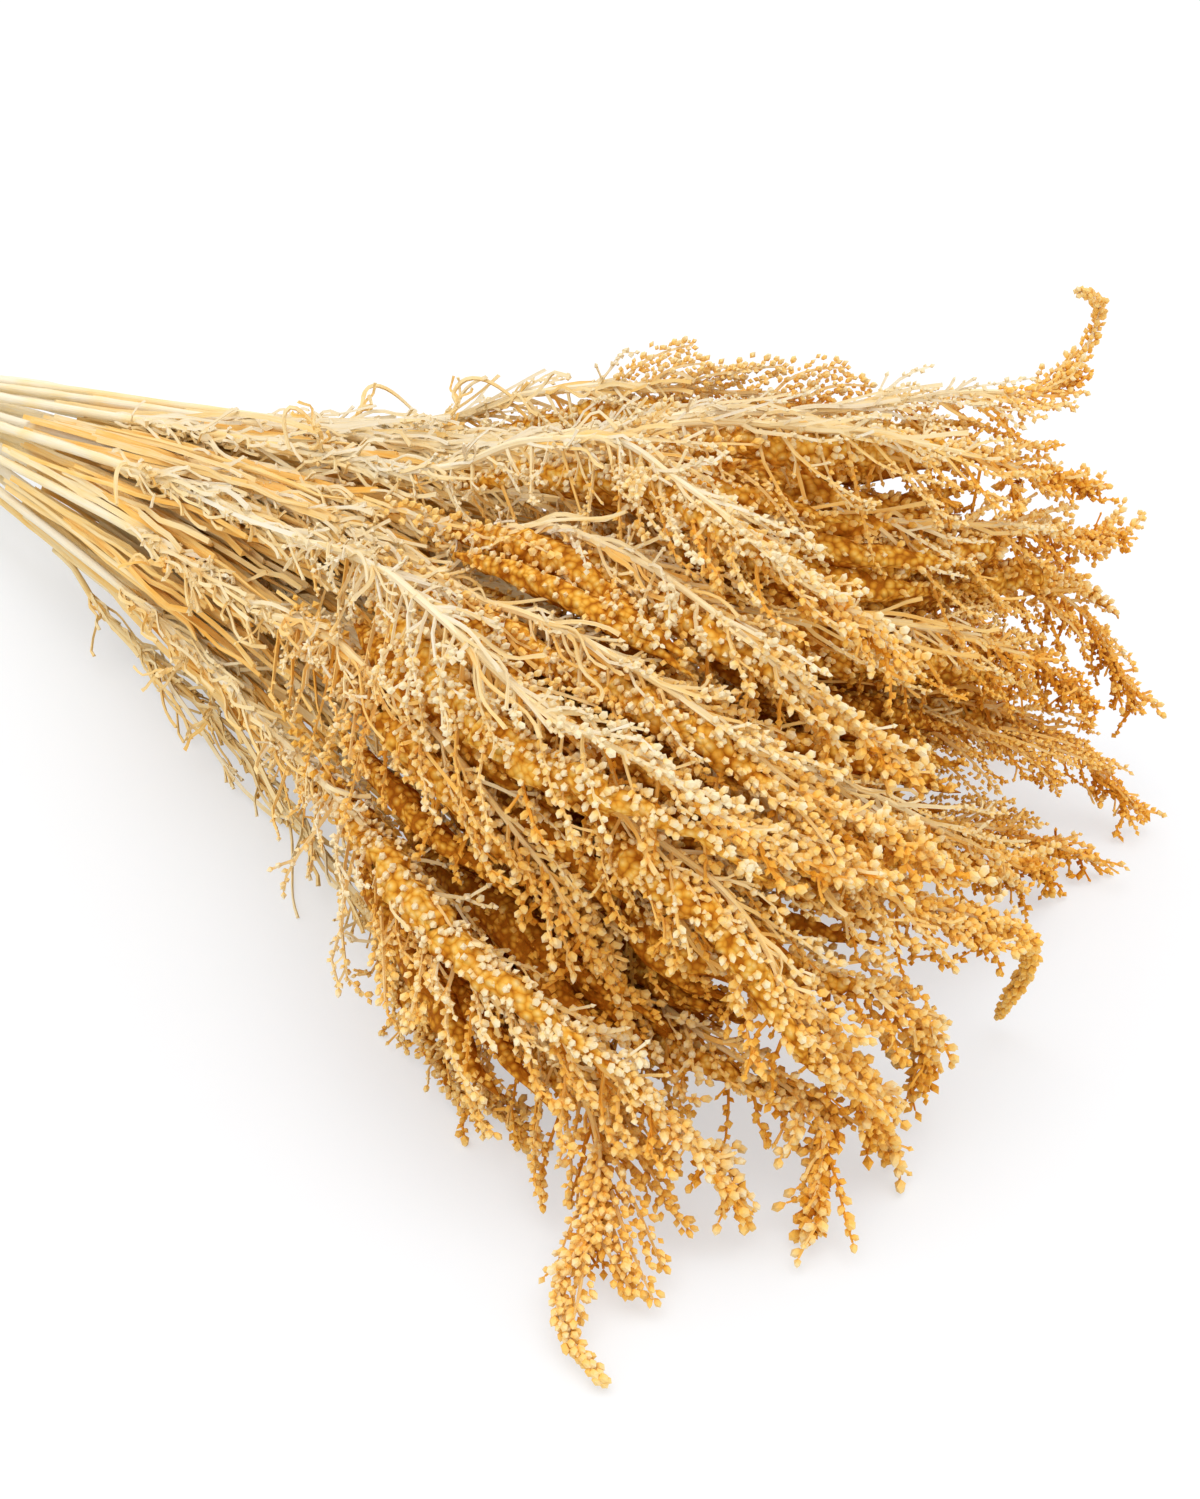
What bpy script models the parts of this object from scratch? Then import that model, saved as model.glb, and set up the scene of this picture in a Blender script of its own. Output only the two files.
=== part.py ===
"""A bunch of dried goldenrod, lying on a flat surface.

Twenty-four cut stalks are held by one rubber band. Each stalk is a straw-like stem that ends in
a plume of dried flower buds, and the plumes arch over each other in a low heap. A stray side
shoot trails under the near edge, and a few dried leaves curl off the outer stems.

Units are metres and +Z is up. +X runs along the bunch, from the cut ends to the flower tips, and
the origin is under the middle of the bunch, on the surface that it lies on. The layout below is
measured from the tie, and main() moves the finished bunch over the origin.
"""

import math

import bpy
import numpy as np
from mathutils import kdtree

# Stems, which are thickest at the cut end.
STEM_RADIUS = 0.0022
STEM_RADIUS_AT_PLUME = 0.0014
THINNEST_STEM = 0.88
STEM_RING_SPACING = 0.034

# Plumes. The profile gives the share of the full radius at each share of the way to the tip.
PLUME_RADIUS = 0.0130
PLUME_PROFILE = ((0.0, 0.14), (0.1, 0.55), (0.3, 0.95), (0.5, 1.0), (0.7, 0.8), (0.85, 0.5), (1.0, 0.26))
PLUME_RING_SPACING = 0.014

# The tie, where the stems lie in a six-sided pack, and the cut ends behind it.
GAP = 0.0003
TIE_HEIGHT = 0.036
STEM_PITCH = 2 * STEM_RADIUS + GAP
LAYER_PITCH = STEM_PITCH * math.sin(math.radians(60))
STRAIGHT_AT_TIE = 0.008
NECK_REACH = 0.055
CUT_REACH = 0.126
CUT_REACH_SPREAD = 0.016
CUT_SPLAY = 1.35

# The band, three turns of rubber pressed side by side.
BAND_TURNS = 3
BAND_TURN_WIDTH = 0.0022
BAND_THICKNESS = 0.0013

# The stray side shoot, which springs from the lowest near stem and trails along the surface.
SHOOT_RADIUS = 0.0011
SHOOT_PLUME_RADIUS = 0.0065
SHOOT_START_REACH = 0.15

# Dried leaves, as narrow curled blades.
LEAF_HALF_WIDTH = 0.0011
LEAF_HALF_THICKNESS = 0.0003
LEAF_PROFILE = ((0.0, 0.35), (0.2, 0.9), (0.4, 1.0), (0.8, 0.8), (1.0, 0.3))
LEAF_POINTS = 12
LEAF_RISE = 15

# How the centre lines are drawn and bent apart.
SAMPLE_SPACING = 0.006
SETTLE_GAP = 0.0008
SQUARE_END = 0.002

# Each row is one stalk's plume, as the points that it passes through from foot to tip: the reach
# from the tie in millimetres, the heading from +X in degrees and the height in millimetres. The
# stalks are in the layers that they form at the tie, the lowest first, and each layer goes from
# the near side, -Y, to the far side, +Y.
BOTTOM_LAYER = (
    ((385, -9, 29), (440, -10, 29), (487, -10.3, 27), (532, -10.5, 21), (564, -13, 9), (583, -13.5, 4)),
    ((400, -5, 20), (470, -6.5, 26), (531, -7, 36), (562, -5.5, 26), (573, -7, 6)),
    ((380, 4, 16), (440, 5, 16), (478, 7, 18), (506, 10.5, 15), (536, 12.5, 6)),
    ((350, 12, 16), (410, 14, 14), (455, 16, 14), (490, 18, 9)),
)
LOWER_LAYER = (
    ((360, -11.5, 58), (450, -12.5, 62), (495, -12, 56), (533, -10.5, 46), (554, -9, 30), (563, -8, 8)),
    ((400, -8, 62), (480, -8, 72), (531, -7, 70), (552, -4.5, 56), (559, -1.5, 34), (555, -1, 8)),
    ((400, 0, 56), (460, 0, 64), (500, 2, 58), (522, 6, 34), (524, 11, 8)),
    ((380, 5, 52), (440, 7, 56), (480, 10, 50), (510, 15, 28), (538, 15.5, 8)),
    ((340, 13, 44), (400, 15, 46), (445, 17, 40), (480, 19, 20)),
)
MIDDLE_LAYER = (
    ((350, -10.5, 90), (436, -10.5, 98), (480, -9.5, 92), (508, -8.5, 68), (520, -8, 44)),
    ((390, -7.5, 88), (470, -8, 96), (515, -8, 90), (541, -6.5, 70), (559, -4.5, 40), (566, -3.5, 6)),
    ((410, -4, 88), (490, -4, 98), (540, -4, 84), (555, -1, 66), (562, 2.5, 40), (549, 3.5, 8)),
    ((400, 1, 88), (460, 2, 98), (490, 6, 90), (504, 13, 64), (516, 16, 42)),
    ((390, 4, 92), (450, 6, 100), (483, 11, 90), (506, 17, 62), (524, 19, 26)),
    ((340, 12, 70), (400, 14, 74), (445, 17, 62), (478, 20, 32)),
)
UPPER_LAYER = (
    ((350, -8.5, 110), (419, -8.5, 118), (485, -8, 120), (525, -7, 110), (546, -5, 98), (556, -3, 90)),
    ((380, -6, 114), (450, -6, 122), (504, -6.5, 120), (535, -5, 104), (556, -1, 72)),
    ((380, -4.5, 118), (461, -5, 128), (501, -4.5, 130), (526, -3, 122), (540, -0.5, 100)),
    ((380, 0.5, 118), (440, 0.5, 128), (481, 7, 120), (496, 14, 100), (510, 20, 84)),
    ((330, 9, 92), (390, 11, 98), (440, 14, 90), (478, 17.5, 66)),
)
TOP_LAYER = (
    ((350, -3, 122), (432, -3, 138), (488, -3, 146), (515, -1.5, 142), (532, 0.5, 122)),
    ((370, 1.5, 126), (430, 2, 140), (468, 4, 144), (486, 10, 134), (506, 17, 110)),
    (
        *((360, 4, 122), (420, 5, 136), (455, 7, 141), (480, 11, 140)),
        *((498, 15, 150), (503, 16, 166), (500, 14.3, 178)),
    ),
    ((300, 6, 102), (350, 7, 118), (392, 9, 130), (418, 12, 130), (434, 15, 122)),
)
LAYERS = (BOTTOM_LAYER, LOWER_LAYER, MIDDLE_LAYER, UPPER_LAYER, TOP_LAYER)
SHOOT_STEM = ((190, -9.5, 20), (224, -8.5, 14), (275, -8, 10), (330, -8.8, 8))
SHOOT_PLUME = ((385, -9.5, 7), (430, -10.5, 7), (475, -11, 7), (505, -11, 5))

# Each leaf's stalk, its reach along that stalk from the tie, its length and how far it curls.
LEAVES = (
    (1, 0.27, 0.026, 150),
    (5, 0.29, 0.024, 190),
    (10, 0.28, 0.026, 170),
    (16, 0.25, 0.024, 200),
    (21, 0.31, 0.024, 160),
    (23, 0.32, 0.026, 180),
    (24, 0.26, 0.024, 150),
)


def from_tie(reach_mm, heading, height_mm):
    """The point at this reach and heading from the tie, with the tie at x = y = 0."""
    turn = math.radians(heading)
    return (reach_mm / 1000 * math.cos(turn), reach_mm / 1000 * math.sin(turn), height_mm / 1000)


def unit(vector):
    return vector / np.linalg.norm(vector)


def lengths_along(line):
    return np.concatenate([[0], np.cumsum(np.linalg.norm(np.diff(line, axis=0), axis=1))])


def evenly_spaced(line, spacing):
    """The line read off at an even spacing, as near to this one as divides its length."""
    along = lengths_along(line)
    wanted = np.linspace(0, along[-1], round(along[-1] / spacing) + 1)
    return np.column_stack([np.interp(wanted, along, line[:, axis]) for axis in range(3)])


def resampled(line, radii, spacing):
    """The line read off at this spacing, with the radius at each of its new points."""
    even = evenly_spaced(line, spacing)
    return even, np.interp(lengths_along(even), lengths_along(line), radii)


def smooth_line(knots, spacing):
    """A smooth curve through the knots, read off at an even spacing."""
    knots = np.array(knots, float)
    steps = np.linalg.norm(np.diff(knots, axis=0), axis=1)
    slopes = np.diff(knots, axis=0) / steps[:, None]
    before = steps[:-1, None]
    after = steps[1:, None]
    middle = (slopes[:-1] * after + slopes[1:] * before) / (before + after)
    tangents = np.vstack([slopes[:1], middle, slopes[-1:]])
    t = np.linspace(0, 1, 40, endpoint=False)[:, None]
    pieces = []
    for i, step in enumerate(steps):
        pieces.append(
            (2 * t**3 - 3 * t**2 + 1) * knots[i]
            + (t**3 - 2 * t**2 + t) * step * tangents[i]
            + (3 * t**2 - 2 * t**3) * knots[i + 1]
            + (t**3 - t**2) * step * tangents[i + 1]
        )
    return evenly_spaced(np.vstack([*pieces, knots[-1:]]), spacing)


def plume_radii(points, full_radius):
    share, width = np.transpose(PLUME_PROFILE)
    return full_radius * np.interp(np.linspace(0, 1, points), share, width)


def slot(layer, place):
    """The place of a stem in the pack, as its offset in Y and Z from the middle."""
    count = len(LAYERS[layer])
    return (place - (count - 1) / 2) * STEM_PITCH, (layer - (len(LAYERS) - 1) / 2) * LAYER_PITCH


class Stalk:
    """One stalk's centre line from its cut end to its tip, with its radius at each point."""

    def __init__(self, number, layer, place):
        row = LAYERS[layer][place]
        self.number = number
        across, up = slot(layer, place)
        thickness = (1 + THINNEST_STEM) / 2 + (1 - THINNEST_STEM) / 2 * math.sin(2.4 * number)
        cut_short = CUT_REACH_SPREAD / 2 * (1 + math.sin(3.9 * number))
        cut_height = STEM_RADIUS - CUT_SPLAY * slot(0, 0)[1]
        foot = np.array(from_tie(*row[0]))
        at_tie = np.array((STRAIGHT_AT_TIE, across, TIE_HEIGHT + up))
        knots = [
            (-CUT_REACH, across * CUT_SPLAY, cut_height + up * CUT_SPLAY),
            at_tie - (2 * STRAIGHT_AT_TIE, 0, 0),
            at_tie,
            at_tie + NECK_REACH * unit(foot - at_tie),
        ]
        line = smooth_line(knots + [from_tie(*point) for point in row], SAMPLE_SPACING)
        self.line = line[line[:, 0] > cut_short - CUT_REACH - SAMPLE_SPACING / 2]
        self.foot = int(np.argmin(np.linalg.norm(self.line - foot, axis=1)))
        stem_radii = np.linspace(STEM_RADIUS * thickness, STEM_RADIUS_AT_PLUME, self.foot)
        self.radius = np.append(stem_radii, plume_radii(len(self.line) - self.foot, PLUME_RADIUS))

    def foot_direction(self):
        return unit(self.line[self.foot + 1] - self.line[self.foot - 1])

    def stem(self):
        """The stem's points and radii, from the cut end to just short of the plume."""
        line, radii = resampled(self.line[: self.foot + 1], self.radius[: self.foot + 1], STEM_RING_SPACING)
        radii[-1] = STEM_RADIUS_AT_PLUME
        line[-1] -= GAP / 2 * self.foot_direction()
        square = line[-1] - SQUARE_END * self.foot_direction()
        return np.insert(line, -1, square, 0), np.append(radii, radii[-1])

    def plume(self):
        """The plume's points and radii, from just past the stem to the tip."""
        line, radii = resampled(self.line[self.foot :], self.radius[self.foot :], PLUME_RING_SPACING)
        line[0] += GAP / 2 * self.foot_direction()
        square = line[0] + SQUARE_END * self.foot_direction()
        return np.insert(line, 1, square, 0), np.insert(radii, 0, radii[0])

    def nearest(self, reach):
        """The index of the point on the stem at this distance along +X from the tie."""
        return int(np.argmin(np.abs(self.line[: self.foot, 0] - reach)))


def near_pairs(line, owner):
    """The pairs of points on different stalks that lie near enough to come to touch."""
    tree = kdtree.KDTree(len(line))
    for i, point in enumerate(line):
        tree.insert(point, i)
    tree.balance()
    pairs = []
    for i, point in enumerate(line):
        for _, j, _ in tree.find_range(point, 2 * PLUME_RADIUS + SAMPLE_SPACING):
            if i < j and owner[i] != owner[j]:
                pairs.append((i, j))
    return np.array(pairs).T


def smoothed(shift, owner, passes=4):
    """The shifts spread along each stalk, so that a push bends it and does not kink it."""
    same = (owner[1:] == owner[:-1])[:, None]
    for _ in range(passes):
        step = np.diff(shift, axis=0) * same / 4
        shift = shift.copy()
        shift[:-1] += step
        shift[1:] -= step
    return shift


def settle(stalks, rounds=14, pushes=12, strength=0.6):
    """Bends the stalks gently apart until none overlaps another or the surface below."""
    line = np.vstack([stalk.line for stalk in stalks])
    radius = np.concatenate([stalk.radius for stalk in stalks])
    owner = np.repeat(np.arange(len(stalks)), [len(stalk.line) for stalk in stalks])
    free = np.clip((line[:, 0] - 2 * STRAIGHT_AT_TIE) / NECK_REACH, 0, 1)[:, None]
    for _ in range(rounds):
        first, second = near_pairs(line, owner)
        needed = radius[first] + radius[second] + SETTLE_GAP
        for _ in range(pushes):
            between = line[second] - line[first]
            apart = np.linalg.norm(between, axis=1)
            short = np.clip(needed - apart, 0, None)
            push = between * (strength / 2 * short / apart)[:, None]
            shift = np.zeros_like(line)
            hits = np.zeros(len(line))
            np.add.at(shift, first, -push)
            np.add.at(shift, second, push)
            np.add.at(hits, first, short > 0)
            np.add.at(hits, second, short > 0)
            line += free * smoothed(shift * 3 / (3 + hits[:, None]), owner)
            line[:, 2] = np.maximum(line[:, 2], radius)
    for i, stalk in enumerate(stalks):
        stalk.line = line[owner == i]


def laid_out_stalks():
    places = [(layer, place) for layer, rows in enumerate(LAYERS) for place in range(len(rows))]
    stalks = [Stalk(number, *place) for number, place in enumerate(places, start=1)]
    settle(stalks)
    return stalks


def material(name, colour, roughness):
    made = bpy.data.materials.new(name)
    made.use_nodes = True
    shader = made.node_tree.nodes["Principled BSDF"]
    shader.inputs["Base Color"].default_value = (*colour, 1)
    shader.inputs["Roughness"].default_value = roughness
    shader.inputs["Metallic"].default_value = 0
    return made


def poly_curve(name, points, radii=None, closed=False):
    """A curve object's data with one straight-sided spline, and a radius factor at each point."""
    curve = bpy.data.curves.new(name, "CURVE")
    curve.dimensions = "3D"
    curve.use_fill_caps = True
    spline = curve.splines.new("POLY")
    spline.use_cyclic_u = closed
    spline.points.add(len(points) - 1)
    for i, point in enumerate(points):
        spline.points[i].co = (*point, 1)
        spline.points[i].radius = 1 if radii is None else radii[i]
    return curve


def add_object(name, curve, finish, collection):
    curve.materials.append(finish)
    made = bpy.data.objects.new(name, curve)
    collection.objects.link(made)
    return made


def add_tube(name, points, radii, bevel_resolution, finish, collection):
    """A closed tube along the points, with its own radius at each."""
    curve = poly_curve(name, points, radii)
    curve.bevel_depth = 1
    curve.bevel_resolution = bevel_resolution
    return add_object(name, curve, finish, collection)


def add_stalk(stalk, straw, gold, bunch):
    stem_line, stem_radii = stalk.stem()
    add_tube(f"stem_{stalk.number:02d}", stem_line, stem_radii, 1, straw, bunch)
    plume_line, plume_widths = stalk.plume()
    add_tube(f"plume_{stalk.number:02d}", plume_line, plume_widths, 2, gold, bunch)


def add_side_shoot(parent, straw, gold, bunch):
    """The thin shoot that leaves the parent stalk's underside, and the small plume at its end."""
    start = parent.nearest(SHOOT_START_REACH)
    drop = parent.radius[start] + SHOOT_RADIUS + GAP
    knots = [parent.line[start] - (0, 0, drop), parent.line[start + 2] - (0, 0, drop)]
    knots += [from_tie(*point) for point in SHOOT_STEM + SHOOT_PLUME]
    line = smooth_line(knots, SAMPLE_SPACING)
    line[:, 2] = np.maximum(line[:, 2], SHOOT_RADIUS)
    foot = int(np.argmin(np.linalg.norm(line - from_tie(*SHOOT_PLUME[0]), axis=1)))
    along = unit(line[foot + 1] - line[foot - 1])
    stem = evenly_spaced(line[: foot + 1], STEM_RING_SPACING / 2)
    stem[-1] -= GAP / 2 * along
    add_tube("side_shoot_stem", stem, np.full(len(stem), SHOOT_RADIUS), 1, straw, bunch)
    plume = evenly_spaced(line[foot:], PLUME_RING_SPACING)
    plume[0] += GAP / 2 * along
    radii = np.minimum(plume_radii(len(plume), SHOOT_PLUME_RADIUS), plume[:, 2])
    add_tube("side_shoot_plume", plume, radii, 2, gold, bunch)


def add_leaf(name, stalk, middle, reach, length, curl, straw, bunch):
    """A narrow blade that leaves the stem on the outside of the bunch and curls back."""
    root = stalk.nearest(reach)
    along = unit(stalk.line[root + 1] - stalk.line[root - 1])
    out = stalk.line[root] - middle
    out = unit(out - along * (out @ along))
    share, width = np.transpose(LEAF_PROFILE)
    widths = np.interp(np.linspace(0, 1, LEAF_POINTS), share, width)
    points = [stalk.line[root] + out * (stalk.radius[root] + widths[0] * LEAF_HALF_WIDTH + GAP)]
    for turned in np.linspace(0, 1, LEAF_POINTS - 1) ** 2:
        rise = math.radians(LEAF_RISE + curl * turned)
        step = math.cos(rise) * along + math.sin(rise) * out
        points.append(points[-1] + step * length / (LEAF_POINTS - 1))
    curve = poly_curve(name, points, widths)
    curve.bevel_depth = LEAF_HALF_THICKNESS
    curve.bevel_resolution = 0
    curve.extrude = LEAF_HALF_WIDTH
    return add_object(name, curve, straw, bunch)


def rounded_outline(corners, radius, arc_points=5):
    """The corners' outline, pushed out by the radius, with an arc round each corner."""
    outline = []
    count = len(corners)
    for i in range(count):
        before = unit(corners[i] - corners[i - 1])
        after = unit(corners[(i + 1) % count] - corners[i])
        start = math.atan2(-before[0], before[1])
        sweep = math.atan2(before[0] * after[1] - before[1] * after[0], before @ after)
        for share in np.linspace(0, 1, arc_points):
            angle = start + share * sweep
            outline.append(corners[i] + radius * np.array((math.cos(angle), math.sin(angle))))
    return outline


def add_band(finish, bunch, helpers):
    """Three turns of a rubber band round the pack of stems, as one ribbed ring."""
    top = len(LAYERS) - 1
    corner_slots = (
        slot(0, 0),
        slot(0, len(LAYERS[0]) - 1),
        slot(top // 2, len(LAYERS[top // 2]) - 1),
        slot(top, len(LAYERS[top]) - 1),
        slot(top, 0),
        slot(top // 2, 0),
    )
    corners = [np.array(corner) for corner in corner_slots]
    inner = STEM_RADIUS + GAP
    outline = rounded_outline(corners, inner + BAND_THICKNESS / 2)
    path = [(0, y, TIE_HEIGHT + z) for y, z in outline]
    half = BAND_THICKNESS / 2
    rib = BAND_TURN_WIDTH / 2
    section = [(-BAND_TURNS * rib, -half), (BAND_TURNS * rib, -half)]
    for turn in range(BAND_TURNS):
        middle = (BAND_TURNS - 1 - 2 * turn) * rib
        section += [(middle + rib, half * 0.3), (middle + rib / 2, half), (middle - rib / 2, half)]
    section.append((-BAND_TURNS * rib, half * 0.3))
    outline_points = [(across, out, 0) for across, out in reversed(section)]
    profile = bpy.data.objects.new("band_section", poly_curve("band_section", outline_points, closed=True))
    profile.hide_render = True
    helpers.objects.link(profile)
    curve = poly_curve("rubber_band", path, closed=True)
    curve.bevel_mode = "OBJECT"
    curve.bevel_object = profile
    return add_object("rubber_band", curve, finish, bunch)


def move_over_origin(bunch):
    """Moves the bunch so that its box is centred over the origin and stands on z = 0."""
    bpy.context.view_layer.update()
    graph = bpy.context.evaluated_depsgraph_get()
    corners = []
    for made in bunch.objects:
        mesh = made.evaluated_get(graph).to_mesh()
        points = np.empty(3 * len(mesh.vertices), np.float32)
        mesh.vertices.foreach_get("co", points)
        corners += [points.reshape(-1, 3).min(axis=0), points.reshape(-1, 3).max(axis=0)]
        made.evaluated_get(graph).to_mesh_clear()
    low = np.min(corners, axis=0)
    high = np.max(corners, axis=0)
    middle = (low + high) / 2
    for made in bunch.objects:
        made.location = (-middle[0], -middle[1], -low[2])


def main():
    for old in list(bpy.data.objects):
        bpy.data.objects.remove(old)
    bunch = bpy.data.collections.new("goldenrod_bunch")
    helpers = bpy.data.collections.new("helpers")
    bpy.context.scene.collection.children.link(bunch)
    bpy.context.scene.collection.children.link(helpers)
    straw = material("straw", (0.72, 0.52, 0.24), 0.65)
    gold = material("dried_buds", (0.78, 0.50, 0.16), 0.8)
    rubber = material("natural_rubber", (0.62, 0.44, 0.24), 0.6)
    stalks = laid_out_stalks()
    for stalk in stalks:
        add_stalk(stalk, straw, gold, bunch)
    add_side_shoot(stalks[0], straw, gold, bunch)
    for number, (stalk_number, reach, length, curl) in enumerate(LEAVES, start=1):
        at_reach = [stalk.line[stalk.nearest(reach)] for stalk in stalks]
        middle = np.mean(at_reach, axis=0)
        add_leaf(f"leaf_{number}", stalks[stalk_number - 1], middle, reach, length, curl, straw, bunch)
    add_band(rubber, bunch, helpers)
    move_over_origin(bunch)


main()
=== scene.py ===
"""The looks of the dried goldenrod bunch: straw stems, wiry leaflets, branchlets and packed buds.

Each CAD stem and plume is replaced by pieces grown along its own centre line, which is read from
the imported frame. Lengths are in metres and turns in radians, and everything random is seeded.
"""

import math

import bpy
import numpy as np
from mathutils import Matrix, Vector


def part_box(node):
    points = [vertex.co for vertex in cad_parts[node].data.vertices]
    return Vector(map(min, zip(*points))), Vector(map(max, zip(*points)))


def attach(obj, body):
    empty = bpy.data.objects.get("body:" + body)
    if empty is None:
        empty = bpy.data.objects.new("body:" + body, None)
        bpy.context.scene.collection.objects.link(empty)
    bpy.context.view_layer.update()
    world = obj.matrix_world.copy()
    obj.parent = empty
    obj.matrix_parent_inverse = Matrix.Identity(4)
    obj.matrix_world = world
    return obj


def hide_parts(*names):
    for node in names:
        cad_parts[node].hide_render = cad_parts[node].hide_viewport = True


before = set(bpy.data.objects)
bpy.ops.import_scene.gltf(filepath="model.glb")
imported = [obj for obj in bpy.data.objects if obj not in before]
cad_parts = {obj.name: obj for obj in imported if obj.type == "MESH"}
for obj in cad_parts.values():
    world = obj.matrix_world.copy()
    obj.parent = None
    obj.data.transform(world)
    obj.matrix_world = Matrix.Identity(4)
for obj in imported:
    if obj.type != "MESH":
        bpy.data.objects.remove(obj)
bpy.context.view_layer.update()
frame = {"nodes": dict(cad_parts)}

SEED = 962
UP = np.array((0.0, 0.0, 1.0))
GOLDEN_ANGLE = math.pi * (3 - math.sqrt(5))
GOLDEN_SHARE = 0.618034
CAD_STEM_SIDES = 6
CAD_PLUME_SIDES = 8
CURVE_STEPS = 16
TWIG_SIDES = 3

# A pair of tuples holds the places of some knots and then their values, for np.interp.

# Pieces whose triangles are gathered. Their meshes are made last, when the whole crowd is known.
WAITING = []

# A piece's map: copies of a layout lie in strips with a margin, and a tube's ends are small.
MAP_STRIPS = 8
MAP_MARGIN = 0.03
MAP_END = 0.04

# How the bunch shades itself, painted into the tones: the ways to the sky are followed through a
# grid of crowded cells.
CELL = 0.004
CROWDED_PERCENTILE = 80
MOST_CROWDED = 1.5
SKY_WAYS = np.array(
    ((0.0, 0.0, 1.0), (0.7, 0.0, 0.7), (-0.7, 0.0, 0.7), (0.0, 0.7, 0.7), (0.0, -0.7, 0.7))
)
SKY_STEPS = 6
SHADING = 0.46
PAINTED_SHADE_TONE = 0.32
PAINTED_SHADE_MIDDLE = 0.62

# Stems, with ridges, scars and a hollow in the cut end. Tones go from dark to pale.
STRAW_SIDES = 10
STRAW_RING_SPACING = 0.008
STEM_TONES = (0.72, 0.8, 0.9, 1.0, 1.15)
TONE_CHANGE = 0.1
RIDGES = 5
RIDGE_DEPTH = 0.05
RIDGE_NOISE = 0.012
SWELL = 0.05
SCARS_PER_STEM = 9
SCAR_LENGTH = 0.004
SCAR_SWELL = 0.1
SCAR_SHADE = 0.12
HOLLOW_DEPTH = 0.0012
HOLLOW_WIDTHS = ((0.15,), (0.6,), (0.6,))
HOLLOW_TONES = (1.2, 1.15, 1.0)

# A plume's own axis, which goes on from the stem and lies near the top of its CAD solid.
PLUME_TONE = 0.6
AXIS_RADIUS = (0.0015, 0.0005)
AXIS_RINGS = 30
AXIS_RING_SPACING = 0.005
AXIS_SIDES = 7
LIFT = ((0.0, 0.08, 0.3, 0.5, 0.75, 1.0), (0.0, 0.5, 0.85, 0.8, 0.45, 0.0))

# The tail: one plume's end, which bows before its hook.
TAIL_PLUME = "01"
TAIL_BOWS_FROM = 0.83
TAIL_BOW = np.array((-0.0042, -0.0045, 0.0))

# Racemes, the small branches all along a plume. They curve forward and carry the buds.
RACEME_SPACING = 0.0019
RACEME_RADIUS = 0.0005
RACEME_STEPS = 5
RACEME_WAVE = 0.0013
RACEME_LEAST = 0.004
RACEME_DROOP = 0.003
RACEME_TONE = -0.07
LAST_RACEME = 0.97
CLUMPS = 16
MOST_TURN = math.radians(165)
BARE_PART = ((0.05, 0.35, 0.7), (0.62, 0.34, 0.14))
REACH = ((0.3, 0.55, 0.8, 1.0), (1.0, 1.15, 0.85, 0.24))
HANG = ((1.7, 2.5), (1.0, 1.9))
PALE_FOOT = ((0.3, 0.75), (0.2, 0))
PALE_BUDS = 0.22

# Side twigs of a raceme, each with a bud at its end.
SIDE_TWIG_LENGTH = 0.0048
SIDE_TWIG_RADII = 0.0004 * np.array((1.1, 0.9, 1.2))
SIDE_TWIG_TONE = -0.02
TWIG_TONES = (-0.14, 0.16)

# Fingers: branches packed with buds, which stand out of a plume's sides as tufts. Those of the
# crest plume, on the far side at the top, stand upright, and the tail's make a fan on one side.
FINGER_RADIUS = 0.0006
FINGER_STEPS = 6
TUFTS_PER_PLUME = 2
TUFT_AT = (0.3, 0.85)
TUFT_LENGTH = 0.026
TUFT_WIDTH = 0.0034
TUFT_SPACING = 0.0008
CREST_PLUME = "24"
CREST_AT = np.array((0.5, 0.57, 0.63, 0.68, 0.8, 0.86))
CREST_LENGTH = 0.024
CREST_WIDTH = 0.0042

# Tufts that the photo shows: their shares of the plume, their turns and their lengths.
PLACED_TUFTS = {
    "01": (
        (0.52, 0.58, 0.63, 0.67, 0.7, 0.73, 0.76, 0.79, 0.82, 0.85, 0.88),
        (-1.4, -1.2, -1.5, -1.3, -1.7, -1.4, -1.2, -1.6, -1.4, -1.3, -1.6),
        (1.2, 1.3, 1.3, 1.3, 1.2, 1.2, 1.0, 0.9, 0.75, 0.55, 0.4),
    ),
    "03": (
        (0.5, 0.55, 0.6, 0.64, 0.68, 0.72, 0.76, 0.8),
        (-1.3, -1.1, -1.5, -1.2, -1.4, -1.2, -1.5, -1.3),
        (1.5, 1.4, 1.5, 1.4, 1.4, 1.3, 1.2, 1.0),
    ),
    "08": (
        (0.48, 0.52, 0.56, 0.6, 0.63, 0.67, 0.7, 0.77),
        (1.6, 1.3, 1.1, 1.4, 1.6, 1.2, 1.5, 1.4),
        (1.4, 1.6, 1.6, 1.5, 1.5, 1.5, 1.5, 1.3),
    ),
    "12": ((), (), ()),
    "23": ((), (), ()),
}

# Plumes that end in a slim chain of buds, from this share of their length.
SLIM_FROM = {"01": 0.84, "12": 0.76, "23": 0.84}
SLIM_RADIUS = (0.0026, 0.0012)
SLIM_SPACING = 0.0005

# Cores: masses of packed buds inside a plume, with painted shade in the gaps between the buds.
CORE = ((0.15, 0.45, 0.65, 0.86), (0.1, 0.42, 0.38, 0.05))
CORE_RING_SPACING = 0.003
CORE_SIDES = 7
CORE_LUMPS = (0.75, 1.2)

# Filling between one plume or stem and its neighbours. Each span of the plumes has its first and
# last share, its drop, and its core's radius, which is 0 for a bare twig with buds.
NEIGHBOURS = 4
BETWEEN_STEPS = 21
BETWEEN_WAVE = 0.0009
FILL_SPANS = ((0.02, 0.5, 0.008, 0), (0.28, 0.74, 0.006, 0.0038), (0.22, 0.7, 0.022, 0.0058))
FILL_WIDTH = 0.0034
FILL_SPACING = 0.0018
# Painted shade: the fill's tone is darker than the plumes', and darker the lower the fill lies.
FILL_PAINTED_SHADE_TONE = ((0.04, 0.12), (0.2, 0.46))
INNER_BUD = 1.1
NECK_CORES = 2
NECK_CORE_RADIUS = 0.0014
NECK_STRANDS = 7
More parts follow.
